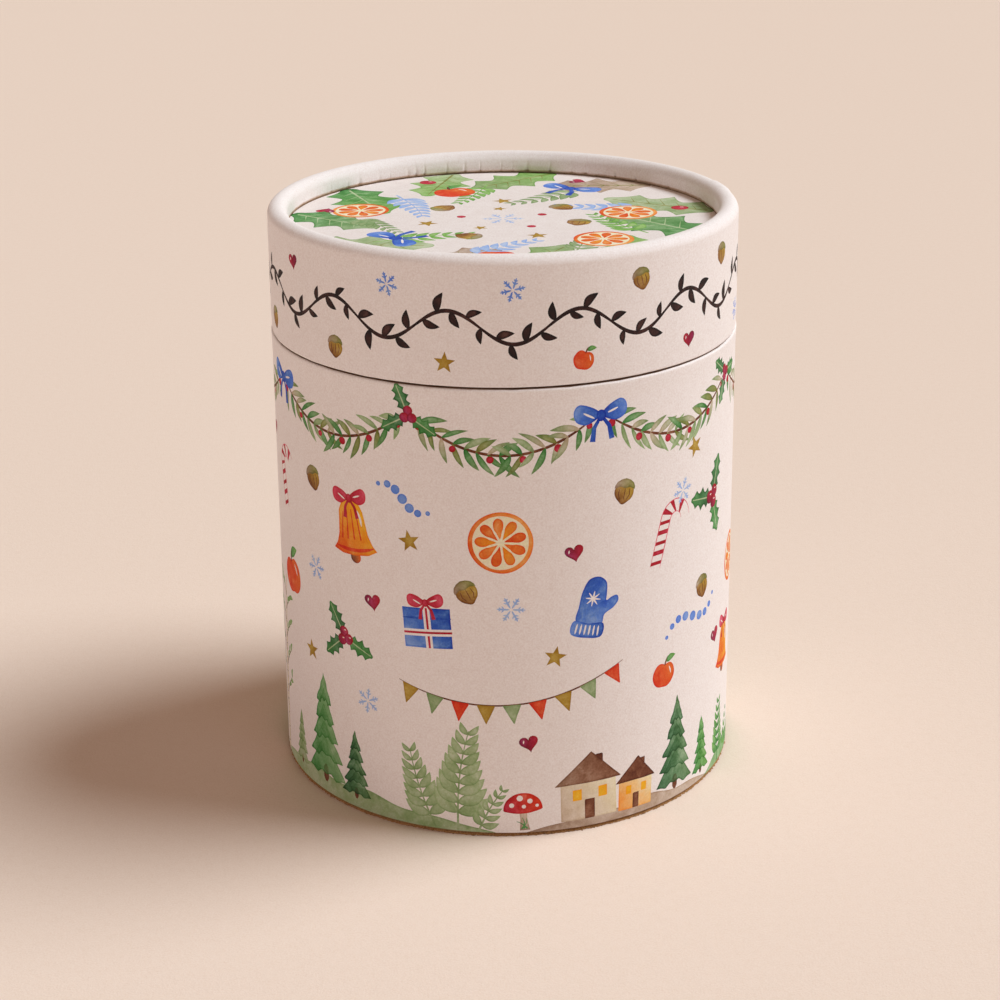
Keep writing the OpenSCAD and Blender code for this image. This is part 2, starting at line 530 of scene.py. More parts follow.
def bell(sheet, put, size):
    """A hand bell with a bow: yellow washes and vermilion strokes."""
    side = [(0.9, 11.2), (2.0, 10.6), (2.8, 9.2), (3.1, 7.2), (3.4, 5.0), (4.1, 3.2), (5.0, 2.1)]
    right = evenly([x + 1j * y for x, y in side], STEP)
    left = [-z.conjugate() for z in reversed(right)]
    base = [-5.0 + 2.1j, -3.0 + 1.3j, 0 + 1.05j, 3.0 + 1.3j, 5.0 + 2.1j]
    body = size * np.array(right + evenly(base, STEP)[::-1][1:-1] + left)
    sheet.wash(put(size * circle(1.15, 0.8j)), "orange", "brown", put([1.2, -1.2]))
    sheet.wash(put(body), "yellow", "orange", put(size * np.array([3 + 8j, -5 + 2j])), hand=0.07)
    for x in (-0.62, -0.3, 0.05, 0.4):
        heights = np.linspace(9.6 - abs(x), 4.0, 6)
        rib = [size * (x * (2.5 + 0.25 * (11 - y)) + 1j * y) for y in heights]
        sheet.line(put(rib), 0.42, "vermilion", shape=lambda t: 0.5 + 0.5 * t)
    band = [size * (x + 1j * (2.9 - 0.035 * (25 - x * x))) for x in np.linspace(-4.3, 4.3, 9)]
    sheet.line(put(band), 0.8, "vermilion")
    gleam = [size * z for z in (1.6 + 9.4j, 2.1 + 8.0j, 2.2 + 6.6j)]
    sheet.line(put(gleam), 0.5, "bare", edge=0)
    bow(sheet, lambda z: put(np.asarray(z) + size * 11.5j), 0.85 * size, "crimson", "rose")


def cane(sheet, put, size):
    """A striped sugar cane: slanted crimson bands across a bent rod left bare."""
    rod = [1j * y for y in np.linspace(0, 8.5, 9)]
    rod += [2.4 - 2.4 * math.cos(a) + 1j * (8.5 + 2.4 * math.sin(a))
            for a in np.linspace(0.25, 2.9, 12)]
    rod = np.array(evenly([size * z for z in rod], 0.2))
    ways = np.gradient(rod)
    half = 1.1 * size * 1j * ways / np.abs(ways)
    sheet.wash(put(np.concatenate([rod + half, (rod - half)[::-1]])), "bare", edge=0)
    pitch, lean = 11, 4  # both counted in points of the rod
    for start in range(1, len(rod) - pitch, pitch):
        thick = 6 if (start // pitch) % 2 else 5
        a = rod[start:start + thick] + half[start:start + thick]
        b = rod[start + lean:start + lean + thick] - half[start + lean:start + lean + thick]
        sheet.wash(put(np.concatenate([a, b[::-1]])), "crimson", "rose", put([0, 9 * size]))
    for s in (1, -1):
        sheet.line(put(rod + s * half), 0.22, "rose")


def toadstool(sheet, put, size):
    """A toadstool: pale stem, crimson cap and spots left bare."""
    stem = [-1.1, -0.8 + 3j, -0.9 + 5.6j, 0.9 + 5.6j, 0.75 + 3j, 1.3]
    sheet.wash(put(size * np.array(evenly(stem, STEP))), "sand", "taupe",
               put([size * (0.2 + 4j), -1.3 * size]), hand=0.05)
    cap = [4.6 * math.cos(a) + 1j * (5.2 + 4.4 * math.sin(a) ** 0.9)
           for a in np.linspace(0.02, math.pi - 0.02, 30)]
    cap += [x + 1j * (5.2 - 0.9 * (1 - (x / 4.6) ** 2)) for x in np.linspace(-4.4, 4.4, 20)]
    sheet.wash(put(size * np.array(cap)), "crimson", "vermilion",
               put(size * np.array([-4 + 6j, 3 + 9j])), hand=0.06)
    for x, y, r in ((-2.6, 6.6, 0.6), (-0.6, 8.3, 0.75), (1.7, 7.4, 0.65), (0.2, 6.1, 0.5),
                    (3.3, 6.1, 0.42)):
        sheet.wash(put(size * circle(r, x + 1j * y, 4)), "bare", edge=0)
    for turn in (1.0, 1.5, 2.2):
        blade = [0.4j, 2.2 * cmath.exp(1j * turn), 3.4 * cmath.exp(1j * (turn + 0.16))]
        sheet.line(put(size * (np.array(blade) - 1.2 * math.cos(turn))), 0.4, "leaf",
                   shape=lambda t: 1 - 0.8 * t)


count_inks(toadstool, 1.0)

# %% Stars, snow and bunting


def star(sheet, put, radius):
    """A five-pointed star."""
    radii = [radius * (0.42 if k % 2 else 1) for k in range(10)]
    corners = [r * cmath.exp(1j * (math.pi / 2 + math.pi * k / 5)) for k, r in enumerate(radii)]
    sheet.wash(put(polygon(corners)), "gold", edge=0.5)


def flake(sheet, put, radius, ink="pale_blue"):
    """A snowflake: six arms, each with two pairs of barbs."""
    for k in range(6):
        arm = cmath.exp(1j * math.tau * k / 6)
        sheet.line(put([0.12 * arm * radius, arm * radius]), 0.4, ink)
        for share, barb in ((0.48, 0.3), (0.74, 0.2)):
            for s in (1, -1):
                root = arm * radius * share
                sheet.line(put([root, root + barb * radius * arm * cmath.exp(0.9j * s)]), 0.3, ink)


def bunting(sheet, left, right, sag, flags):
    """A thread hung from left to right, with small pointed flags on it."""
    def at(t):
        return left + (right - left) * t - 1j * sag * (1 - (2 * t - 1) ** 2)
    sheet.line([at(t) for t in np.linspace(0, 1, 30)], 0.36, "brown")
    for k in range(flags):
        t = (k + 0.5) / flags
        way = at(t + 0.01) - at(t - 0.01)
        size = abs(right - left) / flags * 0.36
        flag = [(-1, 0), (1, 0), (0.1, -2.3)]
        ring = evenly([size * complex(x, y) for x, y in flag + flag[:1]], STEP)[:-1]
        put = place(at(t), cmath.phase(way))
        sheet.wash(put(ring), ("gold", "sage", "vermilion")[k % 3], hand=0.04, edge=0.7)


def flurry(sheet, put, length, rise, count):
    """Snow on the wind: dots along a curved line, largest in the middle."""
    for k in range(count):
        t = (k + 0.5) / count
        at = length * t + 1j * rise * math.sin(math.tau * t)
        size = 0.35 + 0.75 * math.sin(math.pi * t)
        sheet.wash(put(circle(size, at, 5 * size)), "sky", edge=0.6)


count_inks(flake, 3.0)

# %% Houses, trees and ground


def house(sheet, put, width, height, wall, roof):
    """A small house: wall, door, two lit windows, chimney and a steep roof."""
    def box(x0, y0, x1, y1):
        corners = [complex(*c) for c in ((x0, y0), (x1, y0), (x1, y1), (x0, y1), (x0, y0))]
        return put(evenly(corners, STEP)[:-1])
    half = width / 2
    sheet.wash(box(0.24 * half, height, 0.52 * half, 1.62 * height), "brown", edge=0.6)
    sheet.wash(box(-half, 0, half, height), wall, "cream", put([-half, half + 1j * height]),
               hand=0.05)
    eaves = [-1.2 * half + 0.92j * height, 1.2 * half + 0.92j * height, 0.1 * half + 1.72j * height]
    eaves = evenly(eaves + eaves[:1], STEP)[:-1]
    sheet.wash(put(eaves), roof, "brown", put([-half, 2 * half + 1j * height]), hand=0.06)
    for x in (-0.58, 0.34):
        pane = box(x * half, 0.5 * height, (x + 0.32) * half, 0.78 * height)
        sheet.wash(pane, "yellow", edge=0.5)
    sheet.wash(box(-0.16 * half, 0, 0.2 * half, 0.5 * height), "brown", edge=0.4)


def birch(sheet, foot, height, lean):
    """A young birch: a pale trunk with dark marks, and thin rising twigs with few leaves."""
    def at(t):
        return foot + 1j * height * t + lean * height * t ** 1.7
    trunk = [at(t) for t in np.linspace(0, 1, 40)]
    sheet.line(trunk, 1.9, "taupe", shape=lambda t: 1 - 0.8 * t)
    sheet.line(trunk, 1.3, "cream", edge=0, shape=lambda t: 1 - 0.85 * t)
    for i in range(9):
        t = 0.04 + 0.08 * i
        side = 1 if i % 2 else -1
        mark = at(t) + side * 0.6 * (1 - t)
        sheet.line([mark, mark - 0.9 * side * (1 - 0.6 * t)], 0.34, "night")
        root = at(0.24 + 0.08 * i)
        tip = root + (1 - 0.6 * t) * 8.5 * cmath.exp(1j * (math.pi / 2 - side * 0.75))
        twig = [root, (root + tip) / 2 - side * 0.5, tip]
        sheet.line(twig, 0.4, "brown", shape=lambda u: 1 - 0.6 * u)
        for share in (0.45, 0.75, 1.0):
            turn = math.pi / 2 - side * sheet.random.uniform(0.1, 1.4)
            leaf(sheet, place(root + (tip - root) * share, turn), 2.4, 1.1, "sage", "spring")


def fir(sheet, put, height, ink, to):
    """A fir: overlapping ragged tiers on a short trunk."""
    sheet.line(put([0, 0.16j * height]), 0.07 * height, "brown")
    tiers = 5
    for k in range(tiers):
        base = height * (0.1 + 0.165 * k)
        top = height * (0.42 + 0.145 * k)
        half = height * (0.27 - 0.043 * k)
        teeth = 4
        low = []
        for j in range(2 * teeth + 1):
            x = half * (1 - j / teeth)
            dip = 0.0 if j % 2 else -0.035 * height
            droop = 0.05 * height * abs(x) / half if 0 < j < 2 * teeth else 0.0
            low.append(x + 1j * (base + dip - droop))
        shoulder = 0.52 * half + 1j * (base + 0.44 * (top - base))
        ring = [1j * top, -shoulder.conjugate()] + low[::-1] + [shoulder]
        ring = evenly(ring + ring[:1], STEP)[:-1]
        sheet.wash(put(ring), ink, to, put([-half + 1j * base, half + 1j * top]),
                   hand=0.012 * height, over=0.22)


def bank(sheet, left, right, height, ink, to, over=0.35, peak=0.5):
    """A low bank of ground in transparent wash, whose foot runs off the sheet."""
    foot = -2.0
    steps = max(12, round((right - left) / 0.8))
    lumps = [sheet.random.uniform(0, math.tau) for _ in range(3)]
    ridge = []
    for i in range(steps + 1):
        t = i / steps
        rise = math.sin(math.pi * t ** (math.log(0.5) / math.log(peak))) ** 0.8
        rough = sum(0.07 * height * math.sin((3 + 4 * k) * math.pi * t + lump)
                    for k, lump in enumerate(lumps))
        level = foot + (height - foot) * rise + rough * rise
        ridge.append(left + (right - left) * t + 1j * level)
    sheet.wash(np.array(ridge[::-1]), ink, to, np.array([left + 0j, right + 0.6j * height]),
               over=over)


count_inks(fir, 18.0, "leaf", "sage")

# %% [markdown]
# ## Layout of the body's print
#
# Across the sheet, 0 is the overlap at the back and half the way round is the front. Up the sheet,
# 0 is the table. The design is drawn for half the round and used twice, as such wraps are. A leafy
# garland runs under the seam, treats and small fillers are tossed over the middle with plenty of
# bare paper between them, and firs, ferns and houses stand along the bottom. Each place is a pair
# of millimetres from the middle of the half, and heights are from the table. The end of a sheet
# that is turned in is darkened with brown ink as painted shade, so the open seam looks dark.

# %% Paint the garland and the foot


def painted_shade_band(sheet, begin, end, strength, fade=False):
    """Painted shade: a band of brown ink between two heights, all the way across."""
    low = evenly([1j * begin, around + 1j * begin], 1.0)
    ring = np.array(low + [p + 1j * (end - begin) for p in low[::-1]])
    full = strength * INK["painted_shade_brown"]
    sheet.wash(ring, INK["bare"] if fade else full, full, [1j * begin, 1j * end], over=1.0, edge=0)


GARLAND_INKS = (("sage", "pale_sage"), ("olive", "sage"), ("leaf", "sage"), ("sand", "sage"))


def swag(sheet, left, right, top, sag, seed):
    """A hanging garland of leaves between two points."""
    def at(t):
        return left + (right - left) * t + 1j * (top - sag * (1 - (2 * t - 1) ** 2))
    draw = random.Random(seed)
    sheet.line([at(t) for t in np.linspace(0, 1, 40)], 0.6, "brown")
    count = round((right - left) / 2.3)
    for i in range(1, count):
        t = i / count
        way = cmath.phase(at(t + 0.02) - at(t - 0.02))
        for s in (1, -1):
            ink, to = draw.choice(GARLAND_INKS)
            turn = way + (0 if t < 0.5 else math.pi) + s * draw.uniform(0.5, 0.9)
            length, width = draw.uniform(4.2, 6.4), draw.uniform(1.0, 1.5)
            leaf(sheet, place(at(t), turn), length, width, ink, to, bend=0.06 * s)
        if i % 3 == 1:
            put = place(at(t) + draw.uniform(-0.6, 0.6) - 1.1j)
            berry(sheet, put, draw.uniform(0.65, 0.9), "crimson")


def foot_scene(sheet, middle):
    """Firs, ferns and houses along half of the body's foot."""
    bank(sheet, middle - 84, middle + 4, 5.5, "pale_sage", "sage", peak=0.55)
    bank(sheet, middle - 12, middle + 60, 4.0, "taupe", "sand", peak=0.6)
    bank(sheet, middle + 46, middle + 92, 5.0, "pale_sage", "leaf", over=0.4)
    birch(sheet, middle - 68 + 1j, 44, 0.1)
    fir(sheet, place(middle - 45 + 3.2j), 26, "leaf", "pale_sage")
    fir(sheet, place(middle - 35 + 2.8j), 16, "fir", "sage")
    fir(sheet, place(middle - 56 + 3j), 13, "sage", "pale_sage")
    frond(sheet, place(middle - 15 + 0.4j, 1.82), 19, "sage", 8, "pale_sage")
    frond(sheet, place(middle - 10.5 + 0.2j, 1.4), 24, "sage", 9, "pale_sage")
    frond(sheet, place(middle - 6.5 + 0.2j, 1.02), 12, "sage", 6, "pale_sage")
    toadstool(sheet, place(middle + 3.5 + 1.4j, 0.06), 0.9)
    house(sheet, place(middle + 17.5 + 2.6j, 0.02), 12.5, 9, "sand", "taupe")
    house(sheet, place(middle + 28.5 + 2.4j, -0.02), 8.5, 7, "apricot", "brown")
    fir(sheet, place(middle + 40 + 2.8j, -0.02), 22, "fir", "sage")
    fir(sheet, place(middle + 50 + 2.4j), 14, "leaf", "spring")
    frond(sheet, place(middle + 60 + 0.5j, 1.5), 15, "leaf", 7, "spring")
    frond(sheet, place(middle + 65 + 0.5j, 1.2), 10, "spring", 5, "leaf")


trial = Sheet(1)
foot_scene(trial, around / 2)
print("half of the foot takes", len(trial.inks), "inks")

# %% Paint the body's sheet
SWAGS = 8  # in the garland
GARLAND_HEIGHT = 92.5  # where its swags hang from, above the table
KNOT_HEIGHT = 91.8  # middle of the bows and sprigs between them
GARLAND_SAG = 8.0


def body_sheet():
    """The print of the body's wrap, with a band of painted shade on its turned-in top."""
    sheet = Sheet(7)
    span = around / SWAGS
    for k in range(SWAGS):
        left = (k - 0.5) * span
        swag(sheet, left, left + span, GARLAND_HEIGHT, GARLAND_SAG, 30 + k)
    for k in range(SWAGS):
        knot = (k - 0.5) * span + 1j * KNOT_HEIGHT
        if k % 2:
            bow(sheet, place(knot - 0.3j, 0.05 * (k - 4)), 1.25)
        else:
            sprig(sheet, place(knot, 0.3 * k), 0.85)
    for k in (1, 2):
        middle = k * around / 2
        foot_scene(sheet, middle)
        bell(sheet, place(middle - 33 + 58j, 0.12), 1.18)
        orange_slice(sheet, place(middle - 1 + 66j, 0.3), 6.6)
        cane(sheet, place(middle + 33 + 56j, -0.28), 1.25)
        parcel(sheet, place(middle - 16 + 42j, 0.1), 1.2)
        mitten(sheet, place(middle + 17 + 47j, -0.22), 1.1)
        sprig(sheet, place(middle + 53 + 66j, 0.5), 1.15)
        apple(sheet, place(middle - 58 + 47j, 0.2), 4.3)
        orange_slice(sheet, place(middle + 68 + 47j, 0.1), 5.6)
        bell(sheet, place(middle + 62 + 22j, -0.1), 1.0)
        cane(sheet, place(middle - 60 + 62j, 0.2), 1.15)
        sprig(sheet, place(middle - 37 + 40j, 1.4), 1.0)
        bunting(sheet, middle - 23 + 34j, middle + 25 + 37.5j, 5.5, 9)
        flurry(sheet, place(middle + 36 + 38j, 0.35), 20, 2.6, 9)
        flurry(sheet, place(middle - 28 + 76j, -0.3), 14, 1.6, 7)
        apple(sheet, place(middle + 36 + 31j, -0.15), 3.0)
        mitten(sheet, place(middle + 78 + 66j, 0.15), 0.85, "vermilion", "orange")
        for x, y, turn in ((-46, 73, 0.3), (25, 74.5, -0.2), (49, 47, 0.2), (-8, 55, 0.5)):
            nut(sheet, place(middle + x + 1j * y, turn), 2.3)
        for x, y, turn in ((-20, 65, 0.2), (10, 40.5, -0.2), (-49, 33, 0.1), (45, 79.5, 0.3),
                           (77, 58, 0)):
            star(sheet, place(middle + x + 1j * y, turn), 2.5)
        for x, y in ((14, 63), (-70, 77), (56, 33), (-29, 50), (4.5, 21.5)):
            heart(sheet, place(middle + x + 1j * y, 0.2), 1.9)
        for x, y in ((-46, 53), (41, 71), (1, 51.5), (75, 34), (-31, 27)):
            flake(sheet, place(middle + x + 1j * y, x), 2.9)
    # Painted shade: the top of the paper, turned in under the lid, is browned so that the open seam
    # looks dark.
    painted_shade_band(sheet, wrap_high + 0.6 * fold_r, wrap_high + 3.0, 0.5)
    return sheet


body_print = body_sheet()
print("body print:", len(body_print.inks), "inks")

# %% [markdown]
# ## Layout of the lid's print
#
# A dark vine winds round the lid's wall, with the weight of brush and ink that a lid like this
# carries, and a few light motifs stand above and below it. The round sheet on the disc has a
# wreath of large transparent holly leaves with fruit and bows, open in the middle.

# %% Paint the lid's sheets


def lid_sheet(wall):
    """The lid's print, on a wall wall millimetres high, with painted shade at its edges."""
    sheet = Sheet(11)
    toss = sheet.random
    waves = 12
    span = around / waves
    middle = 0.5 * wall

    def vine(u):
        return u + 1j * (middle + 3.3 * math.sin(math.tau * u / span))
    for k in range(waves):
        path = [vine(k * span + span * t) for t in np.linspace(-0.01, 1.01, 30)]
        sheet.line(path, 0.85, "night", edge=0.2,
                   shape=lambda t: 0.55 + 0.45 * abs(math.sin(math.tau * t)))
    count = 9 * waves
    for i in range(count):
        u = around * (i + 0.5) / count
        way = cmath.phase(vine(u + 0.4) - vine(u - 0.4))
        s = 1 if i % 2 else -1
        size = toss.uniform(3.2, 4.4)
        put = place(vine(u), way + s * toss.uniform(0.75, 1.05))
        leaf(sheet, put, size, 0.42 * size, "night", bend=0.1 * s)
    for k in range(2 * waves):
        up = k % 2 == 0
        at = (k + 0.5) * span / 2 + 1j * (middle + (-7.3 if up else 7.6)) + toss.uniform(-0.8, 0.8)
        kind = (k * 5) % 7
        if kind in (0, 4):
            nut(sheet, place(at, toss.uniform(-0.5, 0.5)), 2.0)
        elif kind in (1, 5):
            flake(sheet, place(at, toss.uniform(0, 1)), 2.5, "sky")
        elif kind == 2:
            heart(sheet, place(at, toss.uniform(-0.2, 0.2)), 1.7, "crimson", "plum")
        elif kind == 3:
            star(sheet, place(at, toss.uniform(-0.3, 0.3)), 2.3)
        else:
            apple(sheet, place(at, toss.uniform(-0.3, 0.3)), 2.1)
    cut_edge = wall + rim_w * math.pi / 2 + rim_z - disc_top
    # Painted shade: the lid's turned-in hem, seen in the open seam, is browned.
    painted_shade_band(sheet, -3.0, -0.6 * fold_r, 0.5)
    # Painted shade with a warm bounce: the paper inside the rim turns brown towards its lower edge
    # at the disc.
    painted_shade_band(sheet, cut_edge - 0.9, cut_edge + 0.2, 0.35, fade=True)
    return sheet


def bulge(twice_the_angle):
    """How far the paper inside the rim stands in: most at the front and back of the tin."""
    return 0.45 + 0.35 * np.cos(twice_the_angle)


def disc_sheet(radius):
    """The print of the round sheet on the lid's disc, with a ring of painted shadow at its edge."""
    sheet = Sheet(23)
    toss = sheet.random
    sheet.wash(circle(1.04 * radius, perimeter=80), "tint", edge=0)
    greens = (("leaf", "sage"), ("sage", "pale_sage"), ("sand", "taupe"), ("spring", "sage"),
              ("pale_sage", "spring"), ("leaf", "spring"))
    count = 11
    for k in range(count):
        a = math.tau * k / count + toss.uniform(-0.07, 0.07)
        ink, to = greens[k % len(greens)]
        root = radius * 1.0 * cmath.exp(1j * (a - 0.4))
        length = toss.uniform(23, 29)
        put = place(root, a + math.pi / 2 + toss.uniform(0.35, 0.8))
        holly(sheet, put, length, ink, to, "pale_sage" if ink == "leaf" else "olive", 0.3)
    for k in range(9):
        a = math.tau * (k + 0.4) / 9
        turn = a + math.pi * 0.8 + toss.uniform(-0.35, 0.35)
        put = place(radius * 0.72 * cmath.exp(1j * a), turn)
        ink = ("pale_blue", "sage", "spring")[k % 3]
        frond(sheet, put, toss.uniform(17, 22), ink, 7, width=0.28)
    for k in range(7):
        a = math.tau * (k + 0.2) / 7
        at = radius * (0.6 + 0.1 * (k % 2)) * cmath.exp(1j * a)
        if k % 3 == 0:
            orange_slice(sheet, place(at, a), 6.2)
        elif k % 3 == 1:
            bow(sheet, place(at, a - math.pi / 2), 1.5)
        else:
            apple(sheet, place(at, a - math.pi / 2), 4.4)
    for k in range(14):
        a = math.tau * (k + 0.5) / 14
        at = radius * (0.36 if k % 2 else 0.86) * cmath.exp(1j * a)
        if k % 4 == 0:
            berry(sheet, place(at), 1.9, "crimson")
        elif k % 4 == 1:
            nut(sheet, place(at, a), 2.5)
        elif k % 4 == 2:
            heart(sheet, place(at, a), 2.0)
        else:
            star(sheet, place(at, a), 2.4)
    flake(sheet, place(0), 4.6)
    for k in range(5):
        small = place(radius * 0.2 * cmath.exp(1j * (math.tau * k / 5 + 0.4)), k)
        if k % 2:
            star(sheet, small, 1.7)
        else:
            berry(sheet, small, 1.0, "crimson")
    # Painted shadow: a brown ring at the disc's edge, as wide as the paper inside the rim bulges,
    # stands for the rim's contact shadow.
    turns = 12
    for k in range(turns):
        angle = np.linspace(math.tau * k / turns, math.tau * (k + 1) / turns, 24)
        arc = np.exp(1j * angle)
        hem = (radius + 0.1 - 0.65 * bulge(2 * angle + math.pi)) * arc
        sheet.wash(np.concatenate([1.1 * radius * arc, hem[::-1]]), 0.8 * INK["painted_shade_brown"], over=1.0,
                   edge=0)
    return sheet


lid_print = lid_sheet(rim_z - lid_low)
disc_print = disc_sheet(least_radius("lid_wrap"))
print("lid print:", len(lid_print.inks), "inks; disc print:", len(disc_print.inks), "inks")

# %% [markdown]
# ## Folding the sheets
#
# Seen in section, a wrap is one line of paper: up the wall, over an edge and on. The class below
# walks along that line and remembers each straight run and each bend, so any length along the
# paper gives a place and the direction that the paper's printed face looks in. The paper keeps
# its length while it bends, which is why the print runs over the rim without being stretched.

# %% Walk along a folded sheet


class Fold:
    """The section of a folded sheet. A place in it is radius plus height times i."""

    def __init__(self, start, heading, begin):
        self.begin = self.end = begin
        self.place = start
        self.heading = heading
        self.runs = []

    def go(self, length, bend=0.0):
        """Walks on by length, and turns left by the angle bend on the way."""
        self.runs.append((self.end, self.place, self.heading, bend / length))
        self.end += length
        self.place = complex(self.along(np.array([self.end]))[0][0])
        self.heading += bend

    def along(self, v):
        """Places and outward directions at the lengths v."""
        which = np.clip(np.searchsorted([run[0] for run in self.runs], v, "right") - 1, 0, None)
        places, outward = np.empty(v.shape, complex), np.empty(v.shape, complex)
        for k, (begin, start, heading, curve) in enumerate(self.runs):
            here = which == k
            s = v[here] - begin
            way = heading + curve * s
            if curve:
                places[here] = start - 1j * (np.exp(1j * way) - cmath.exp(1j * heading)) / curve
            else:
                places[here] = start + s * cmath.exp(1j * heading)
            outward[here] = -1j * np.exp(1j * way)
        return places, outward


quarter = math.pi / 2

body_fold = Fold(complex(tin_r, wrap_low), quarter, wrap_low)
body_fold.go(wrap_high - wrap_low - fold_r)
body_fold.go(fold_r * quarter, quarter)
body_fold.go(tin_r - fold_r - neck_r)

hem = tin_r - fold_r - lid_in_r
lid_fold = Fold(complex(lid_in_r, lid_low), 0.0, fold_r - fold_r * quarter - hem)
lid_fold.go(hem)
lid_fold.go(fold_r * quarter, quarter)
lid_fold.go(rim_z - lid_low - fold_r)
rim_begin = lid_fold.end
lid_fold.go(rim_w * quarter, 2 * quarter)
leg_begin = lid_fold.end
lid_fold.go(rim_z - disc_top)
print("body paper ends at", np.round(body_fold.place, 2),
      "and lid paper at", np.round(lid_fold.place, 2))

# %% [markdown]
# ## What paper does that board doesn't
#
# Three small things tell the eye that this is paper glued by hand and machine. The sheet laps over
# its own beginning at the back and stands proud there by its thickness. The folded edges at the
# seam are never quite straight and have small nicks. And where the paper is pulled down inside
# the rim, the round gets smaller, so the spare paper gathers in small creases. These are real
# shapes, so they are made in the mesh and not as a bump.

# %% Lap, wavy edges and creases
LAP = 6.0  # overlap of the sheet at the back, in millimetres
LAP_RISE = 1.4  # length over which the lapping end climbs on to the paper below it
EDGE_FADE = 7.0  # how far from a folded edge its waviness dies out
NICK_FADE = 1.6  # how far from a folded edge a nick in it dies out
TRIM_FADE = 3.5  # how far up the body's paper follows its trimmed lower edge
SWELL_FADE = 4.0  # how far from a folded edge the wall is straight again
EDGE_WAVE = 0.03  # waviness of the body's two edges
LID_EDGE_WAVE = 0.02  # waviness of the lid's lower edge
LID_EDGE_LOW = 0.02  # how far the lid's lower edge hangs down at the front
LID_BACK_LOW = 0.16  # how much further it hangs down at the sides and back
LID_NICK = 0.08  # depth of the lid's deepest nick
BODY_NICK = 0.1  # depth of the body's deepest nick
SPRING_BACK = 0.12  # how far the body's fold stands proud
DRAWN_IN = 0.06  # how far the lid's lower edge is drawn in
LEG_LEAD = 1.6  # how far above the rim's straight leg the paper begins to bulge
LEG_WAVE = 0.06  # unevenness of the bulge
LEG_LIFT = 0.42  # how far the paper's edge inside the rim stands above the disc
LEG_LIFT_WAVE = 0.05  # unevenness of that edge
CREASE_LIFT = 0.3  # how much higher it stands at a deep crease
LEG_LIFT_LENGTH = 0.9  # length of the paper that is lifted
LID_TURN = -1.4  # radians; the lid's overlap is on the right, the body's at the back


def smooth(t):
    """0 before 0, 1 after 1, and a soft step between."""
    t = np.clip(t, 0, 1)
    return t * t * (3 - 2 * t)


def lap(u):
    """How far the lapping end stands off."""
    return wrap_t * smooth((u - around + LAP_RISE) / LAP_RISE)


def waver(u, seed, amount):
    """A slow wave that closes on itself round the tin."""
    draw = random.Random(seed)
    return sum(amount * draw.uniform(0.4, 1) / k ** 0.5
               * np.sin(k * u / tin_r + draw.uniform(0, math.tau)) for k in (2, 3, 5, 9, 14, 23))


def scattered(seed, spacings, widths, depths):
    """Dents round the tin, each as (place, width, depth) in millimetres and a share."""
    draw = random.Random(seed)
    dents = []
    at = 1.5
    while at < around - 2.0:
        dents.append((at, draw.uniform(*widths), draw.uniform(*depths)))
        at += draw.uniform(*spacings)
    return dents


def dented(u, dents, widen=1.0):
    """The depth at u: each dent's own depth at its middle, and 0 between dents."""
    u = np.mod(u, around)
    total = np.zeros(np.shape(u))
    for at, width, depth in dents:
        near = np.abs(u - at) < 4 * width * widen
        total[near] += depth * np.exp(-((u[near] - at) / (width * widen)) ** 2)
    return np.clip(total, 0, 1)


creases = scattered(5, (2.2, 7.5), (0.22, 0.5), (0.25, 0.8))
lid_nicks = scattered(6, (4.0, 20.0), (0.7, 2.2), (0.3, 1.0))
body_nicks = scattered(7, (5.0, 24.0), (0.6, 1.6), (0.3, 1.0))


def leg_swell(u, v):
    """How far the paper inside the rim bulges towards the tin's middle."""
    share = (v - leg_begin + LEG_LEAD) / (lid_fold.end - leg_begin + LEG_LEAD)
    full = bulge(2 * (u / tin_r + LID_TURN)) + LEG_WAVE * waver(u, 8, 1.0)
    tucked = 1 - 0.2 * smooth((share - 0.85) / 0.15)
    pinched = 0.35 * smooth(share * 1.3) + 0.45 * smooth((share - 0.55) / 0.4)
    return full * smooth(share * 1.4) * tucked * (1 - pinched * dented(u, creases))


def leg_rise(u, v):
    """How far the paper's lower edge inside the rim stands above the disc."""
    near = smooth((v - lid_fold.end + LEG_LIFT_LENGTH) / LEG_LIFT_LENGTH)
    lift = LEG_LIFT + LEG_LIFT_WAVE * waver(u, 9, 1.0) + CREASE_LIFT * dented(u, creases, 1.6) ** 2
    return near * lift


def body_swell(u, v):
    """The body's fold stands a little proud, because paper springs back from a sharp edge."""
    bend = wrap_high - fold_r
    over_edge = smooth((v - bend - 0.3) / 0.36)
    return SPRING_BACK * smooth((v - bend + SWELL_FADE) / SWELL_FADE) * (1 - over_edge)


def lid_swell(u, v):
    """The lid's lower edge is drawn in a little, and the paper inside the rim bulges."""
    return leg_swell(u, v) * (v > rim_begin) - DRAWN_IN * (1 - smooth((v - fold_r) / SWELL_FADE))


def lid_rise(u, v):
    """The lid's lower edge, highest at the front and nicked, and the lifted edge in the rim."""
    off_front = np.abs(np.mod(u / tin_r + LID_TURN, math.tau) - math.pi)
    hang = LID_EDGE_LOW + LID_BACK_LOW * smooth((off_front - 0.45) / 0.8)
    edge = waver(u, 3, LID_EDGE_WAVE) - hang
    nicks = LID_NICK * dented(u, lid_nicks) * (1 - smooth(v / NICK_FADE))
    return edge * (1 - smooth(v / EDGE_FADE)) - nicks + leg_rise(u, v) * (v > rim_begin)


def body_rise(u, v):
    """The body's folded top edge, wavy and nicked, and its trimmed lower edge."""
    nicks = BODY_NICK * dented(u, body_nicks) * smooth((v - wrap_high + NICK_FADE) / NICK_FADE)
    trimmed = waver(u, 10, EDGE_WAVE) * (1 - smooth((v - wrap_low) / TRIM_FADE))
    folded = waver(u, 4, EDGE_WAVE) * smooth((v - wrap_high + EDGE_FADE) / EDGE_FADE)
    return folded - nicks + trimmed


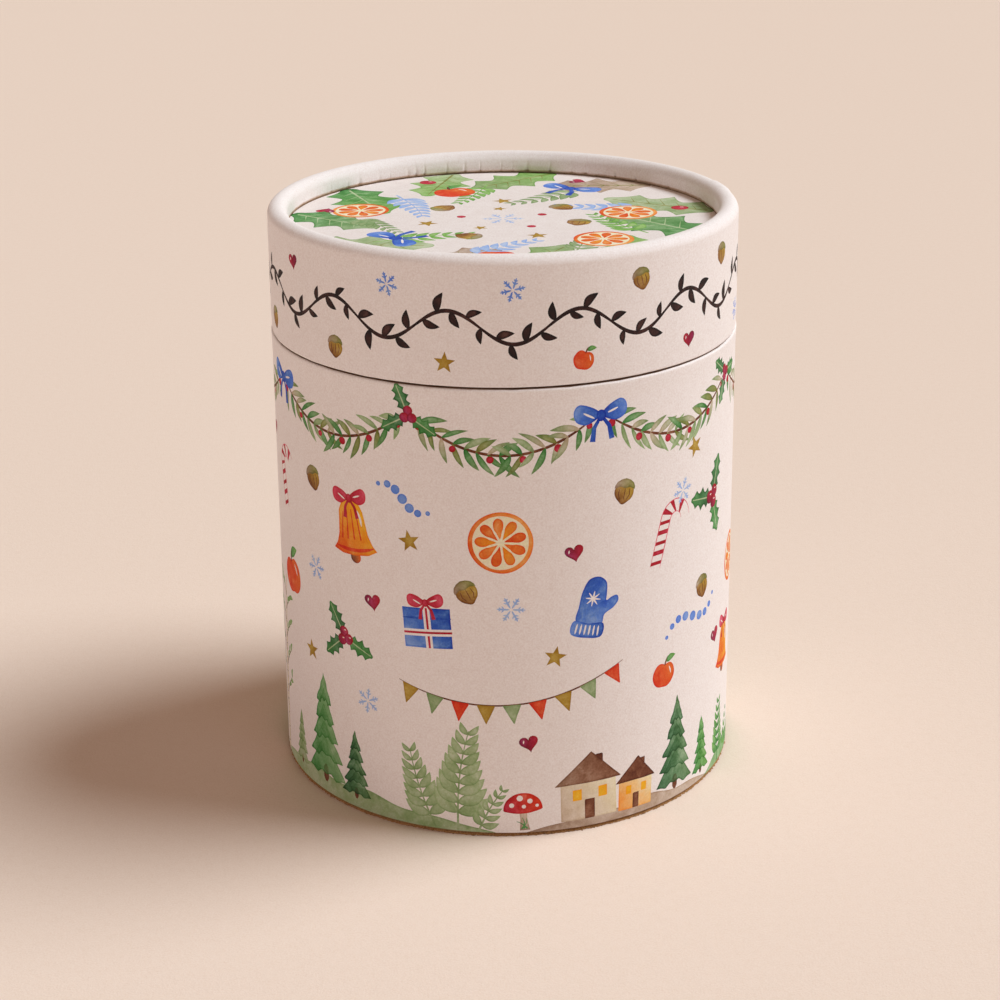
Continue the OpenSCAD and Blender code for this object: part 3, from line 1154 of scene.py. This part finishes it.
def round_the_tin(angle, radius, height):
    """Points at angles from the front, radii and heights."""
    return np.stack([radius * np.sin(angle), -radius * np.cos(angle), height], -1)


def rolled(fold, turn, swell, rise):
    """A function from the flat sheet to the folded and rolled one, in millimetres."""
    def surface(flat, depth=0.0):
        u, v = flat.real, flat.imag
        section, outward = fold.along(v)
        off = lap(u) - depth + (0.0 if depth else swell(u, v))
        section = section + off * outward + 1j * rise(u, v)
        return round_the_tin(u / tin_r - math.pi + turn, section.real, section.imag)
    return surface


body_surface = rolled(body_fold, 0.0, body_swell, body_rise)
lid_surface = rolled(lid_fold, LID_TURN, lid_swell, lid_rise)


def disc_surface(flat, depth=0.0):
    """The lid's flat disc."""
    return np.stack([flat.real, flat.imag, np.full(flat.shape, disc_top - depth)], -1)


print(len(creases), "creases inside the rim, one every", round(around / len(creases), 1), "mm")

# %% [markdown]
# ## Soaking the paper
#
# The outlines of all inks, the folds and the sheet's own border are handed to a constrained
# Delaunay triangulation. It cuts the flat sheet into triangles that cross no outline and says
# which outlines each triangle lies in. Each corner of a triangle then gets the dye that the inks
# leave there, in painting order. A print made this way is as sharp as its outlines and needs no
# picture, and because it is part of the mesh, it bends with the paper.
#
# Besides the dye's three densities, each corner keeps how near it is to the edge of its wash,
# because watercolour dries darker there.

# %% Cut the sheet and soak it
CLOSE = 1e-4  # points nearer than this are one point, in millimetres
ALL_TRIANGLES = 0  # the kind of output that the triangulation is asked for


def gap_to(ring, points):
    """Each point's distance to a closed outline."""
    run = np.roll(ring, -1) - ring
    off = points[:, None] - ring[None, :]
    t = np.clip((off * run.conj()).real / np.maximum(np.abs(run) ** 2, 1e-12), 0, 1)
    return np.abs(off - t * run).min(axis=1)


def cut(rings, rows, loose):
    """Triangulates. Returns points, triangles, each triangle's rings, and each point's sources."""
    points, faces, edges = [], [], []
    for ring in rings:
        faces.append(list(range(len(points), len(points) + len(ring))))
        points.extend(ring)
    for row in rows:
        edges += [(k, k + 1) for k in range(len(points), len(points) + len(row) - 1)]
        points.extend(row)
    points.extend(loose)
    flat = [Vector((p.real, p.imag)) for p in points]
    made = delaunay_2d_cdt(flat, edges, faces, ALL_TRIANGLES, CLOSE, True)
    spots, _, triangles, sources, _, origins = made
    return np.array([complex(s.x, s.y) for s in spots]), triangles, origins, sources


def outlines(sheet, border, shifts):
    """The outlines that reach the sheet, whose ink each is, and points just inside the washes."""
    low, high = border.real.min(), border.real.max()
    rings, owners, inset = [border], [None], []
    for number, ink in enumerate(sheet.inks):
        for shift in shifts:
            for ring in ink["rings"]:
                z = ring + shift
                if z.real.max() < low or z.real.min() > high:
                    continue
                rings.append(z)
                owners.append((number, shift))
                if ink["line"] or not ink["edge"]:
                    continue
                way = np.roll(z, -1) - np.roll(z, 1)
                into = (z + RIM_BAND * 1j * way / np.maximum(np.abs(way), 1e-9))[::2]
                inset.extend(into[gap_to(z, into) > 0.9 * RIM_BAND])
    return rings, owners, inset


def soak(sheet, points, triangles, origins, owners):
    """The dye at each corner of each triangle, and its closeness to a wash's edge."""
    dye = np.zeros((len(triangles), 3, 4))
    inside = defaultdict(list)
    for t, rings in enumerate(origins):
        for owner in {owners[r] for r in rings if r}:
            inside[owner].append(t)
    for number, shift in sorted(inside):
        ink = sheet.inks[number]
        which = np.array(inside[number, shift])
        spots = points[triangles[which]].reshape(-1) - shift
        colour = np.tile(ink["ink"], (len(spots), 1))
        if ink["to"] is not None:
            a, b = ink["axis"]
            t = np.clip(((spots - a) * np.conj(b - a)).real / abs(b - a) ** 2, 0, 1)[:, None]
            colour = (1 - t) * colour + t * ink["to"]
        near = np.full(len(spots), 0.4)
        if not ink["line"] and ink["edge"]:
            near = np.clip(1 - gap_to(ink["rings"][0], spots) / RIM_BAND, 0, 1)
        added = np.concatenate([colour, ink["edge"] * near[:, None]], axis=1).reshape(-1, 3, 4)
        dye[which] = ink["over"] * dye[which] + added
    return dye


print("cutting and soaking are ready")

# %% [markdown]
# A sheet of paper has two faces and a thickness, also in the model. The printed face comes from
# the cut sheet. The face that is glued down has no print, so it gets far fewer triangles, but it
# has the same border, and a narrow band of side faces joins the two into one closed solid.
#
# The normals aren't left to the triangles, which are long and thin where the print is empty. They
# are worked out from the surface itself, so the paper shades as smoothly as it is rolled.

# %% Build solid paper from a soaked sheet
BAKE_MAP = "OFBake"
SIDE_MARGIN = 0.004  # the share of the bake map's width that is left free at each side
BACK_STRIP = (0.004, 0.06)  # the glued face's share of the bake map's height
SIDE_STRIP = (0.066, 0.07)
FACE_STRIP = (0.076, 0.998)


def facing(surface, flat, depth=0.0):
    """The surface's direction at flat points, from tiny steps to both sides."""
    step = 0.02
    across = surface(flat + step, depth) - surface(flat - step, depth)
    along = surface(flat + 1j * step, depth) - surface(flat - 1j * step, depth)
    n = np.cross(across, along)
    return n / np.linalg.norm(n, axis=1, keepdims=True)


def border_loop(triangles):
    """The points round the border, anticlockwise."""
    edges = {(t[i], t[i - 2]) for t in triangles for i in range(3)}
    following = {a: b for a, b in edges if (b, a) not in edges}
    loop = [min(following)]
    while following[loop[-1]] != loop[0]:
        loop.append(following[loop[-1]])
    return loop


def in_strip(flat, border, strip):
    """Places in the bake map for points of the flat sheet."""
    u = (flat.real - border.real.min()) / np.ptp(border.real)
    v = (flat.imag - border.imag.min()) / np.ptp(border.imag)
    across = SIDE_MARGIN + (1 - 2 * SIDE_MARGIN) * u
    return np.stack([across, strip[0] + (strip[1] - strip[0]) * v], -1)


def solid_paper(name, sheet, border, rows, back_rows, loose, surface, thickness, shifts=(0.0,)):
    """A closed solid of printed paper."""
    rings, owners, inset = outlines(sheet, border, shifts)
    points, triangles, origins, _ = cut(rings, rows, list(loose) + inset)
    kept = [k for k, origin in enumerate(origins) if 0 in origin]
    used = sorted({p for k in kept for p in triangles[k]})
    renumber = {p: k for k, p in enumerate(used)}
    face = np.array([[renumber[p] for p in triangles[k]] for k in kept])
    points = points[used]
    dye = soak(sheet, points, face, [origins[k] for k in kept], owners)

    loop = border_loop(face.tolist())
    back_points, back, back_origins, sources = cut([points[loop]], back_rows, [])
    back = np.array([t for t, origin in zip(back, back_origins) if 0 in origin])
    first = {s: k for k, source in enumerate(sources) for s in source}
    below = [len(points) + first[k] for k in range(len(loop))]
    sides = [(loop[k], loop[k - 1], below[k - 1], below[k]) for k in range(len(loop))]

    mesh = bpy.data.meshes.new(name)
    spots = np.vstack([surface(points), surface(back_points, thickness)]) * MM
    faces = face.tolist() + (back[:, ::-1] + len(points)).tolist() + sides
    mesh.from_pydata(spots.tolist(), [], faces)
    round_faces = len(face) + len(back)
    mesh.polygons.foreach_set("use_smooth", [k < round_faces for k in range(len(faces))])

    dyes = mesh.color_attributes.new("dye", "FLOAT_COLOR", "CORNER")
    bare = np.zeros((3 * len(back) + 4 * len(sides), 4))
    dyes.data.foreach_set("color", np.concatenate([dye.reshape(-1, 4), bare]).ravel())

    run = np.linspace(SIDE_MARGIN, 1 - SIDE_MARGIN, len(loop) + 1)
    side_map = [((run[k], SIDE_STRIP[1]), (run[k + 1], SIDE_STRIP[1]), (run[k + 1], SIDE_STRIP[0]),
                 (run[k], SIDE_STRIP[0])) for k in range(len(loop))]
    places = np.concatenate([in_strip(points[face.ravel()], border, FACE_STRIP),
                             in_strip(back_points[back[:, ::-1].ravel()], border, BACK_STRIP),
                             np.array(side_map).reshape(-1, 2)])
    mesh.uv_layers.new(name=BAKE_MAP).data.foreach_set("uv", places.ravel())

    normals = np.concatenate([facing(surface, points)[face.ravel()],
                              -facing(surface, back_points, thickness)[back[:, ::-1].ravel()],
                              np.zeros((4 * len(sides), 3))])
    mesh.normals_split_custom_set(normals.tolist())
    piece = stand(name, mesh)
    print(f"{name}: {len(face)} printed triangles, {len(back)} behind, {len(sides)} sides")
    return piece


# %% [markdown]
# The rows are lines that the triangles may not cross. They lie where the paper bends, so that each
# bend keeps its round section. The loose points between them only keep the triangles short.

# %% Rows and loose points for the two wraps
COLUMN = 2.0  # spacing of the points round the tin, in millimetres
EDGE_COLUMN = 0.5  # their spacing along the folded edges
LOOSE_ROW = 4.5  # spacing of the loose points up the wall
CREASE_STEPS = (-2.6, -1.7, -1, -0.45, 0, 0.45, 1, 1.7, 2.6)  # points across a crease, in widths
sheet_end = around + LAP
columns = np.linspace(0, sheet_end, round(sheet_end / COLUMN) + 1)
crease_columns = [at + step * width for at, width, _ in creases for step in CREASE_STEPS]
fine_columns = sorted(set(columns) | {c for c in crease_columns if 0 < c < sheet_end - 0.05})
edge_columns = np.linspace(0, sheet_end, round(sheet_end / EDGE_COLUMN) + 1)


def bend_rows(runs, fold):
    """The rows across a fold's bends, as (paper length, places across the sheet)."""
    rows = []
    for begin, end, count, places in runs:
        rows += [(v, places) for v in np.linspace(begin, end, count + 1)]
    return [(v, places) for v, places in rows if fold.begin + 0.01 < v < fold.end - 0.01]


def as_points(rows, plain=False):
    """The rows' points on the sheet, or only one at each column if plain."""
    return [np.array(columns if plain else places) + 1j * v for v, places in rows]


def oblong(fold, top):
    """The sheet's border, with a point at each column."""
    return np.concatenate([columns + 1j * fold.begin, np.array(top)[::-1] + 1j * fold.end])


def loose_points(top):
    """Points spread over the wall up to the height top."""
    return [u + 1j * v for v in np.arange(4, top - 1, LOOSE_ROW) for u in columns]


body_bend = wrap_high - fold_r
body_rows = bend_rows([(body_bend - 3.8, body_bend - 0.5, 3, edge_columns),
                       (body_bend, body_bend + fold_r * quarter, 6, edge_columns)], body_fold)
lid_bend = fold_r - fold_r * quarter
rim_middle = (rim_begin + leg_begin) / 2
lid_rows = bend_rows([(lid_bend, fold_r, 6, edge_columns),
                      (fold_r + 0.5, fold_r + 3.8, 3, edge_columns),
                      (rim_begin, rim_middle, 12, columns),
                      (rim_middle + 0.3, leg_begin, 10, fine_columns),
                      (leg_begin + 0.3, lid_fold.end - 0.12, 8, fine_columns)], lid_fold)
print(len(body_rows), "rows on the body and", len(lid_rows), "on the lid")

# %% Make the printed papers


def wrap_paper(name, sheet, fold, top, rows, loose, surface):
    """A printed wrap. top gives the places of the points along its upper border."""
    return solid_paper(name, sheet, oblong(fold, top), as_points(rows), as_points(rows, True),
                       loose, surface, wrap_t, (-around, 0.0, around))


body_paper = wrap_paper("body_print", body_print, body_fold, columns, body_rows,
                        loose_points(body_bend), body_surface)
lid_paper = wrap_paper("lid_print", lid_print, lid_fold, fine_columns, lid_rows,
                       loose_points(rim_begin), lid_surface)
disc_count = 240
disc_edge = lid_in_r * np.exp(1j * math.tau * np.arange(disc_count) / disc_count)
disc_loose = [r * cmath.exp(1j * math.tau * k / 24) for r in (8, 18, 28, 38) for k in range(24)]
disc_paper = solid_paper("disc_print", disc_print, disc_edge, [], [], disc_loose, disc_surface,
                         disc_top - facing_low)
for piece, node_name, body in ((body_paper, "body_wrap", "body"), (lid_paper, "lid_wrap", "lid"),
                               (disc_paper, "lid_facing", "lid")):
    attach(piece, body)
    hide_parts(node_name)

# %% [markdown]
# The body's tube was cut to length with a knife, and the paper round it ends a little higher. So a
# strip of bare board shows at the table. The knife has crushed its edge in and opened its plies: a
# narrow groove under the paper lies in deep shade, and frayed fibres spread out at the table.

# %% Turn the body's tube with its frayed foot
FRAY_COLUMN = 0.35  # spacing of the frayed points round the foot, in millimetres
TUFT = 0.07  # how far tufts of fibre stand out
FIBRE_OUT = 0.13  # scatter of single fibres outwards
FIBRE_UP = 0.1  # and upwards
SOFT_EDGE = 0.4  # radius of the tube's top edge
tube_in = least_radius("body_tube")
tube_high = reach("body_tube")[2]
# Places in the section: out from the tube's face, height, and how much they fray
frayed_foot = ((-0.9, 0.0, 0.3), (0.02, 0.0, 1.0), (0.1, 0.1, 1.0), (-0.08, 0.26, 1.0),
               (-0.38, 0.42, 0.7), (-0.65, 0.58, 0.2), (-0.7, 0.9, 0.0), (-0.05, 1.1, 0.0),
               (0.0, 1.3, 0.0))


def board_tube(name):
    """The body's tube as a closed solid: a straight wall with a soft top edge and a frayed foot."""
    count = round(math.tau * tube_r / FRAY_COLUMN)
    angle = math.tau * np.arange(count) / count
    draw = np.random.default_rng(31)
    tufts = TUFT * waver(angle * tin_r, 32, 1.0)
    section = [(tube_in - tube_r, 0.0, 0.0), *frayed_foot]
    section += [(SOFT_EDGE * (math.cos(t) - 1), tube_high + SOFT_EDGE * (math.sin(t) - 1), 0.0)
                for t in np.linspace(0, quarter, 5)]
    section += [(tube_in - tube_r, tube_high, 0.0)]
    spots = []
    for out, height, fray in section:
        radius = tube_r + out + fray * (tufts + draw.normal(0.0, FIBRE_OUT, count))
        lift = 0.3 * fray * bool(height) * draw.normal(0.0, FIBRE_UP, count)
        level = np.maximum(height + lift, 0)
        spots.append(round_the_tin(angle, radius, level))
    rows = len(section)
    faces = [(a * count + k, a * count + (k + 1) % count, (a + 1) % rows * count + (k + 1) % count,
              (a + 1) % rows * count + k) for a in range(rows) for k in range(count)]
    mesh = bpy.data.meshes.new(name)
    mesh.from_pydata((np.concatenate(spots) * MM).tolist(), [], faces)
    mesh.polygons.foreach_set("use_smooth", [True] * len(faces))
    frayed = len(frayed_foot) * count
    mesh.polygons.foreach_set("material_index", [int(k < frayed) for k in range(len(faces))])
    piece = stand(name, mesh)
    print(f"{name}: {len(faces)} faces round {count} columns")
    return piece


body_board = board_tube("body_board")
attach(body_board, "body")
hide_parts("body_tube")

# %% [markdown]
# ## Materials
#
# Each material is a small network of nodes. One function adds a node, sets it and links it. All
# patterns are placed by the object's own coordinates, and their scale is worked out from a real
# size in millimetres.

# %% The helper for nodes, and how a material starts and ends
FIRST, SECOND, MIXED = 6, 7, 2  # the sockets for colours on a node that mixes them


def add(owner, kind, values=(), **settings):
    """Adds a node to a material or world. values gives its inputs: plain values or outputs."""
    made = owner.node_tree.nodes.new(kind)
    for name, value in settings.items():
        setattr(made, name, value)
    for key, value in dict(values).items():
        if isinstance(value, bpy.types.NodeSocket):
            owner.node_tree.links.new(value, made.inputs[key])
        else:
            made.inputs[key].default_value = value
    return made.outputs


def per(size):
    """The noise scale whose blotches are about size millimetres wide."""
    return 1 / (size * MM)


def rgba(hex_colour):
    """A node's colour value."""
    return (*linear(hex_colour), 1.0)


def start_material(name):
    """An empty material and its object coordinates."""
    material = bpy.data.materials.new(name)
    material.use_nodes = True
    material.node_tree.nodes.clear()
    return material, add(material, "ShaderNodeTexCoord")["Object"]


def finish_material(material, where, colour, roughness, specular, fibre_size, fibre_depth):
    """Gives a material its shader and the relief of its fibres, both sizes in millimetres."""
    fibres = add(material, "ShaderNodeTexNoise", {
        "Vector": where, "Scale": per(fibre_size), "Detail": 3.0, "Roughness": 0.7})["Fac"]
    relief = add(material, "ShaderNodeBump", {"Height": fibres, "Distance": fibre_depth * MM})[0]
    shader = add(material, "ShaderNodeBsdfPrincipled", {
        "Base Color": colour, "Roughness": roughness, "IOR": 1.5, "Specular IOR Level": specular,
        "Normal": relief})[0]
    add(material, "ShaderNodeOutputMaterial", {"Surface": shader})
    return material


print("a noise scale for 0.4 mm:", round(per(0.4)))

# %% [markdown]
# The printed paper is uncoated: a matt sheet of short fibres, warm white with a little pink, and
# cloudy when seen closely because fibres never lie evenly. Typical values are an IOR of 1.5 and a
# roughness of 0.8 or more. The dye from the mesh is multiplied by noise at two scales. The coarse
# one is how a wash blooms while it dries, and the fine one is pigment that settles between fibres.

# %% Printed paper
CLOUD_SIZE = 2.0  # clouds in the paper, in millimetres
GRAIN_SIZE = 0.36  # pale fibres in it
BLOOM_SIZE = 3.2  # blooms in a dried wash
PIGMENT_SIZE = 0.45  # pigment that settled between fibres


def paper_tone(material, where, base, shade, pale):
    """The cloudy colour of paper: broad faint clouds of shade, and fine pale grain all over."""
    cloud = add(material, "ShaderNodeTexNoise", {
        "Vector": where, "Scale": per(CLOUD_SIZE), "Detail": 3.0, "Roughness": 0.6})["Fac"]
    grain = add(material, "ShaderNodeTexNoise", {
        "Vector": where, "Scale": per(GRAIN_SIZE), "Detail": 2.0, "Roughness": 0.6})["Fac"]
    cloud_share = add(material, "ShaderNodeMapRange", {
        "Value": cloud, "From Min": 0.38, "From Max": 0.82})[0]
    grain_share = add(material, "ShaderNodeMapRange", {
        "Value": grain, "From Min": 0.3, "From Max": 0.7})[0]
    clouded = add(material, "ShaderNodeMix", {
        "Factor": cloud_share, FIRST: rgba(base), SECOND: rgba(shade)}, data_type="RGBA")[MIXED]
    return add(material, "ShaderNodeMix", {
        "Factor": grain_share, FIRST: clouded, SECOND: rgba(pale)}, data_type="RGBA")[MIXED]


def printed_paper():
    """Uncoated wrapping paper with a watercolour print."""
    material, where = start_material("uncoated_printed_paper")
    blank = paper_tone(material, where, "#EBE1DB", "#E5D9D2", "#F6F0EC")
    soaked = add(material, "ShaderNodeAttribute", attribute_name="dye")
    bloom = add(material, "ShaderNodeTexNoise", {
        "Vector": where, "Scale": per(BLOOM_SIZE), "Detail": 3.0, "Roughness": 0.55,
        "Distortion": 0.6})["Fac"]
    pigment = add(material, "ShaderNodeTexNoise", {
        "Vector": where, "Scale": per(PIGMENT_SIZE), "Detail": 2.0, "Roughness": 0.7})["Fac"]
    bloomed = add(material, "ShaderNodeMapRange", {
        "Value": bloom, "From Min": 0.3, "From Max": 0.7, "To Min": -0.62, "To Max": -1.25})[0]
    grained = add(material, "ShaderNodeMapRange", {
        "Value": pigment, "From Min": 0.3, "From Max": 0.7, "To Min": 0.08, "To Max": -0.14})[0]
    pooled = add(material, "ShaderNodeMath", {0: soaked["Alpha"], 1: 0.5, 2: 0.0},
                 operation="MULTIPLY_ADD")[0]
    both = add(material, "ShaderNodeMath", {0: bloomed, 1: grained}, operation="ADD")[0]
    amount = add(material, "ShaderNodeMath", {0: both, 1: pooled}, operation="SUBTRACT")[0]
    weakened = add(material, "ShaderNodeVectorMath", {0: soaked["Color"], "Scale": amount},
                   operation="SCALE")[0]
    channels = add(material, "ShaderNodeSeparateXYZ", {0: weakened})
    shares = {k: add(material, "ShaderNodeMath", {0: channels[k]}, operation="EXPONENT")[0]
              for k in range(3)}
    passed = add(material, "ShaderNodeCombineXYZ", shares)[0]
    colour = add(material, "ShaderNodeVectorMath", {0: blank, 1: passed}, operation="MULTIPLY")[0]
    return finish_material(material, where, colour, 0.82, 0.35, 0.5, 0.03)


print_material = printed_paper()
for piece in (body_paper, lid_paper, disc_paper):
    piece.data.materials.append(print_material)
print(print_material.name, "has", len(print_material.node_tree.nodes), "nodes")

# %% [markdown]
# The board is grey-brown recycled paper, wound from several plies with glue between them. Its
# plies show as rings on a cut edge. The flat discs are punched from solid board of the same kind.
# The knife that cut the body's foot left loose brown fibres there. The linings are grease-proof
# paper: smoother, a little yellow and faintly glossy. The neck is faced with brown kraft paper, its
# brown chosen as painted shade for the open seam, and the underside with plain white paper.

# %% Boards and plain papers
RUBBED_SIZE = 9.0  # smoother places of a paper, in millimetres


def board(name, base, shade, ply, along_z):
    """Recycled board, whose plies are ply millimetres thick."""
    material, where = start_material(name)
    tone = paper_tone(material, where, base, shade, "#C9B397")
    axes = add(material, "ShaderNodeSeparateXYZ", {0: where})
    if along_z:
        across = axes["Z"]
    else:
        squares = [add(material, "ShaderNodeMath", {0: axes[k], 1: axes[k]},
                       operation="MULTIPLY")[0] for k in (0, 1)]
        total = add(material, "ShaderNodeMath", dict(enumerate(squares)), operation="ADD")[0]
        across = add(material, "ShaderNodeMath", {0: total}, operation="SQRT")[0]
    turns = add(material, "ShaderNodeMath", {0: across, 1: math.tau / (ply * MM)},
                operation="MULTIPLY")[0]
    wave = add(material, "ShaderNodeMath", {0: turns}, operation="SINE")[0]
    glue_line = add(material, "ShaderNodeMapRange", {
        "Value": wave, "From Min": 0.55, "From Max": 1.0, "To Max": 0.55})[0]
    striped = add(material, "ShaderNodeMix", {
        "Factor": glue_line, FIRST: tone, SECOND: rgba("#8A6B4E")}, data_type="RGBA")[MIXED]
    return finish_material(material, where, striped, 0.9, 0.3, 0.35, 0.05)


def frayed_board(name):
    """Loose fibres of cut board."""
    material, where = start_material(name)
    tone = paper_tone(material, where, "#9C6E40", "#6B4526", "#C39563")
    return finish_material(material, where, tone, 0.95, 0.2, 0.3, 0.12)


def plain_paper(name, base, shade, pale, roughness, specular, fibre_size):
    """Unprinted paper, rubbed a little smoother in places."""
    material, where = start_material(name)
    tone = paper_tone(material, where, base, shade, pale)
    rubbed = add(material, "ShaderNodeTexNoise", {
        "Vector": where, "Scale": per(RUBBED_SIZE), "Detail": 3.0})["Fac"]
    gloss = add(material, "ShaderNodeMapRange", {
        "Value": rubbed, "From Min": 0.35, "From Max": 0.7,
        "To Min": roughness - 0.08, "To Max": roughness + 0.06})[0]
    return finish_material(material, where, tone, gloss, specular, fibre_size, 0.02)


wound_board = board("wound_tube_board", "#B79E80", "#A58B6D", 0.42, False)
solid_board = board("punched_solid_board", "#B49A7C", "#A2886B", 0.5, True)
facing_paper = plain_paper("white_facing_paper", "#F0EAE3", "#E6DDD4", "#F7F3EE", 0.72, 0.4, 0.45)
# The neck's kraft brown is partly painted shade: it was chosen to make the open seam look dark.
kraft_paper = plain_paper("kraft_facing_paper", "#93704C", "#856342", "#A27E59", 0.68, 0.4, 0.6)
lining_paper = plain_paper("greaseproof_lining_paper", "#E9E0D0", "#DFD3BF", "#F0E9DC", 0.5, 0.5,
                           0.7)
for material in (wound_board, frayed_board("frayed_cut_board")):
    body_board.data.materials.append(material)
linings = ("neck_lining", "base_lining", "lid_lining", "lid_underlay")
for material, names in ((wound_board, ("neck_tube", "lid_tube")),
                        (solid_board, ("base_disc", "lid_disc")),
                        (kraft_paper, ("neck_facing",)), (facing_paper, ("base_facing",)),
                        (lining_paper, linings)):
    for name in names:
        nodes[name].data.materials.clear()
        nodes[name].data.materials.append(material)
    print(material.name, "on", ", ".join(names))

# %% [markdown]
# ## Table, light and view
#
# The table is a wide, plain, pale warm surface. The key light comes from high on the right and a
# little behind the tin, so the right side is bright and the shadow falls to the left and slightly
# forward. It is a sun lamp as wide as a softbox looks from the table, because a sun lights the
# whole table evenly. Two weak lamps, low on the left and at the front right, and an even world as
# warm as light from a painted wall keep the other sides readable. The lamps themselves aren't
# seen. Together they give a level face about the brightness that its colour has as written.

# %% Table
TABLE_SIDE = 24.0  # metres
table_mesh = bpy.data.meshes.new("table")
table_corners = [(x * TABLE_SIDE / 2, y * TABLE_SIDE / 2, 0)
                 for x, y in ((-1, -1), (1, -1), (1, 1), (-1, 1))]
table_mesh.from_pydata(table_corners, [], [(0, 1, 2, 3)])
table = stand("table", table_mesh)
table_paint, table_where = start_material("matt_table_paint")
table_tone = paper_tone(table_paint, table_where, "#E9D4C2", "#E4CDB9", "#EEDCCC")
finish_material(table_paint, table_where, table_tone, 0.9, 0.2, 0.9, 0.07)
table_mesh.materials.append(table_paint)
print("table", TABLE_SIDE, "m wide")

# %% Lamps and world
LAMP_DISTANCE = 1.4  # metres
LAMP_SIDE = 0.5  # metres


def lamp(name, kind, right, height, power, colour):
    """A lamp aimed at the tin from right degrees off the front, height degrees above the table."""
    right, height = math.radians(right), math.radians(height)
    towards = Vector((math.sin(right) * math.cos(height), -math.cos(right) * math.cos(height),
                      math.sin(height)))
    data = bpy.data.lights.new(name, kind)
    data.energy = power
    data.color = colour
    made = stand(name, data)
    made.location = Vector((0, 0, tin_h / 2 * MM)) + LAMP_DISTANCE * towards
    made.rotation_euler = towards.to_track_quat("Z", "Y").to_euler()
    made.visible_camera = False
    return data


key = lamp("key", "SUN", 98, 54, 3.05, (0.86, 0.935, 1.0))
key.angle = math.radians(30)
left_fill = lamp("left_fill", "AREA", -75, 4, 3.2, (0.95, 0.90, 1.0))
front_fill = lamp("front_fill", "AREA", 38, 8, 2.15, (0.75, 0.82, 1.0))
for soft_lamp in (left_fill, front_fill):
    soft_lamp.size = LAMP_SIDE
world = bpy.data.worlds.new("studio")
bpy.context.scene.world = world
world.use_nodes = True
world.node_tree.nodes.clear()
ray = add(world, "ShaderNodeLightPath")
seen = add(world, "ShaderNodeMath", {0: ray["Is Camera Ray"], 1: ray["Is Glossy Ray"]},
           operation="MAXIMUM")[0]
seen = add(world, "ShaderNodeMath", {0: seen, 1: ray["Is Transmission Ray"]},
           operation="MAXIMUM")[0]
even_light = add(world, "ShaderNodeBackground",
                 {"Color": (1.0, 0.68, 0.50, 1), "Strength": 0.255})[0]
pale_wall = add(world, "ShaderNodeBackground", {"Color": rgba("#F1DFD0"), "Strength": 1.0})[0]
mixed = add(world, "ShaderNodeMixShader", {0: seen, 1: even_light, 2: pale_wall})[0]
add(world, "ShaderNodeOutputWorld", {"Surface": mixed})
bpy.context.scene.view_settings.view_transform = "Standard"
print(len(bpy.data.lights), "lamps and an even world")
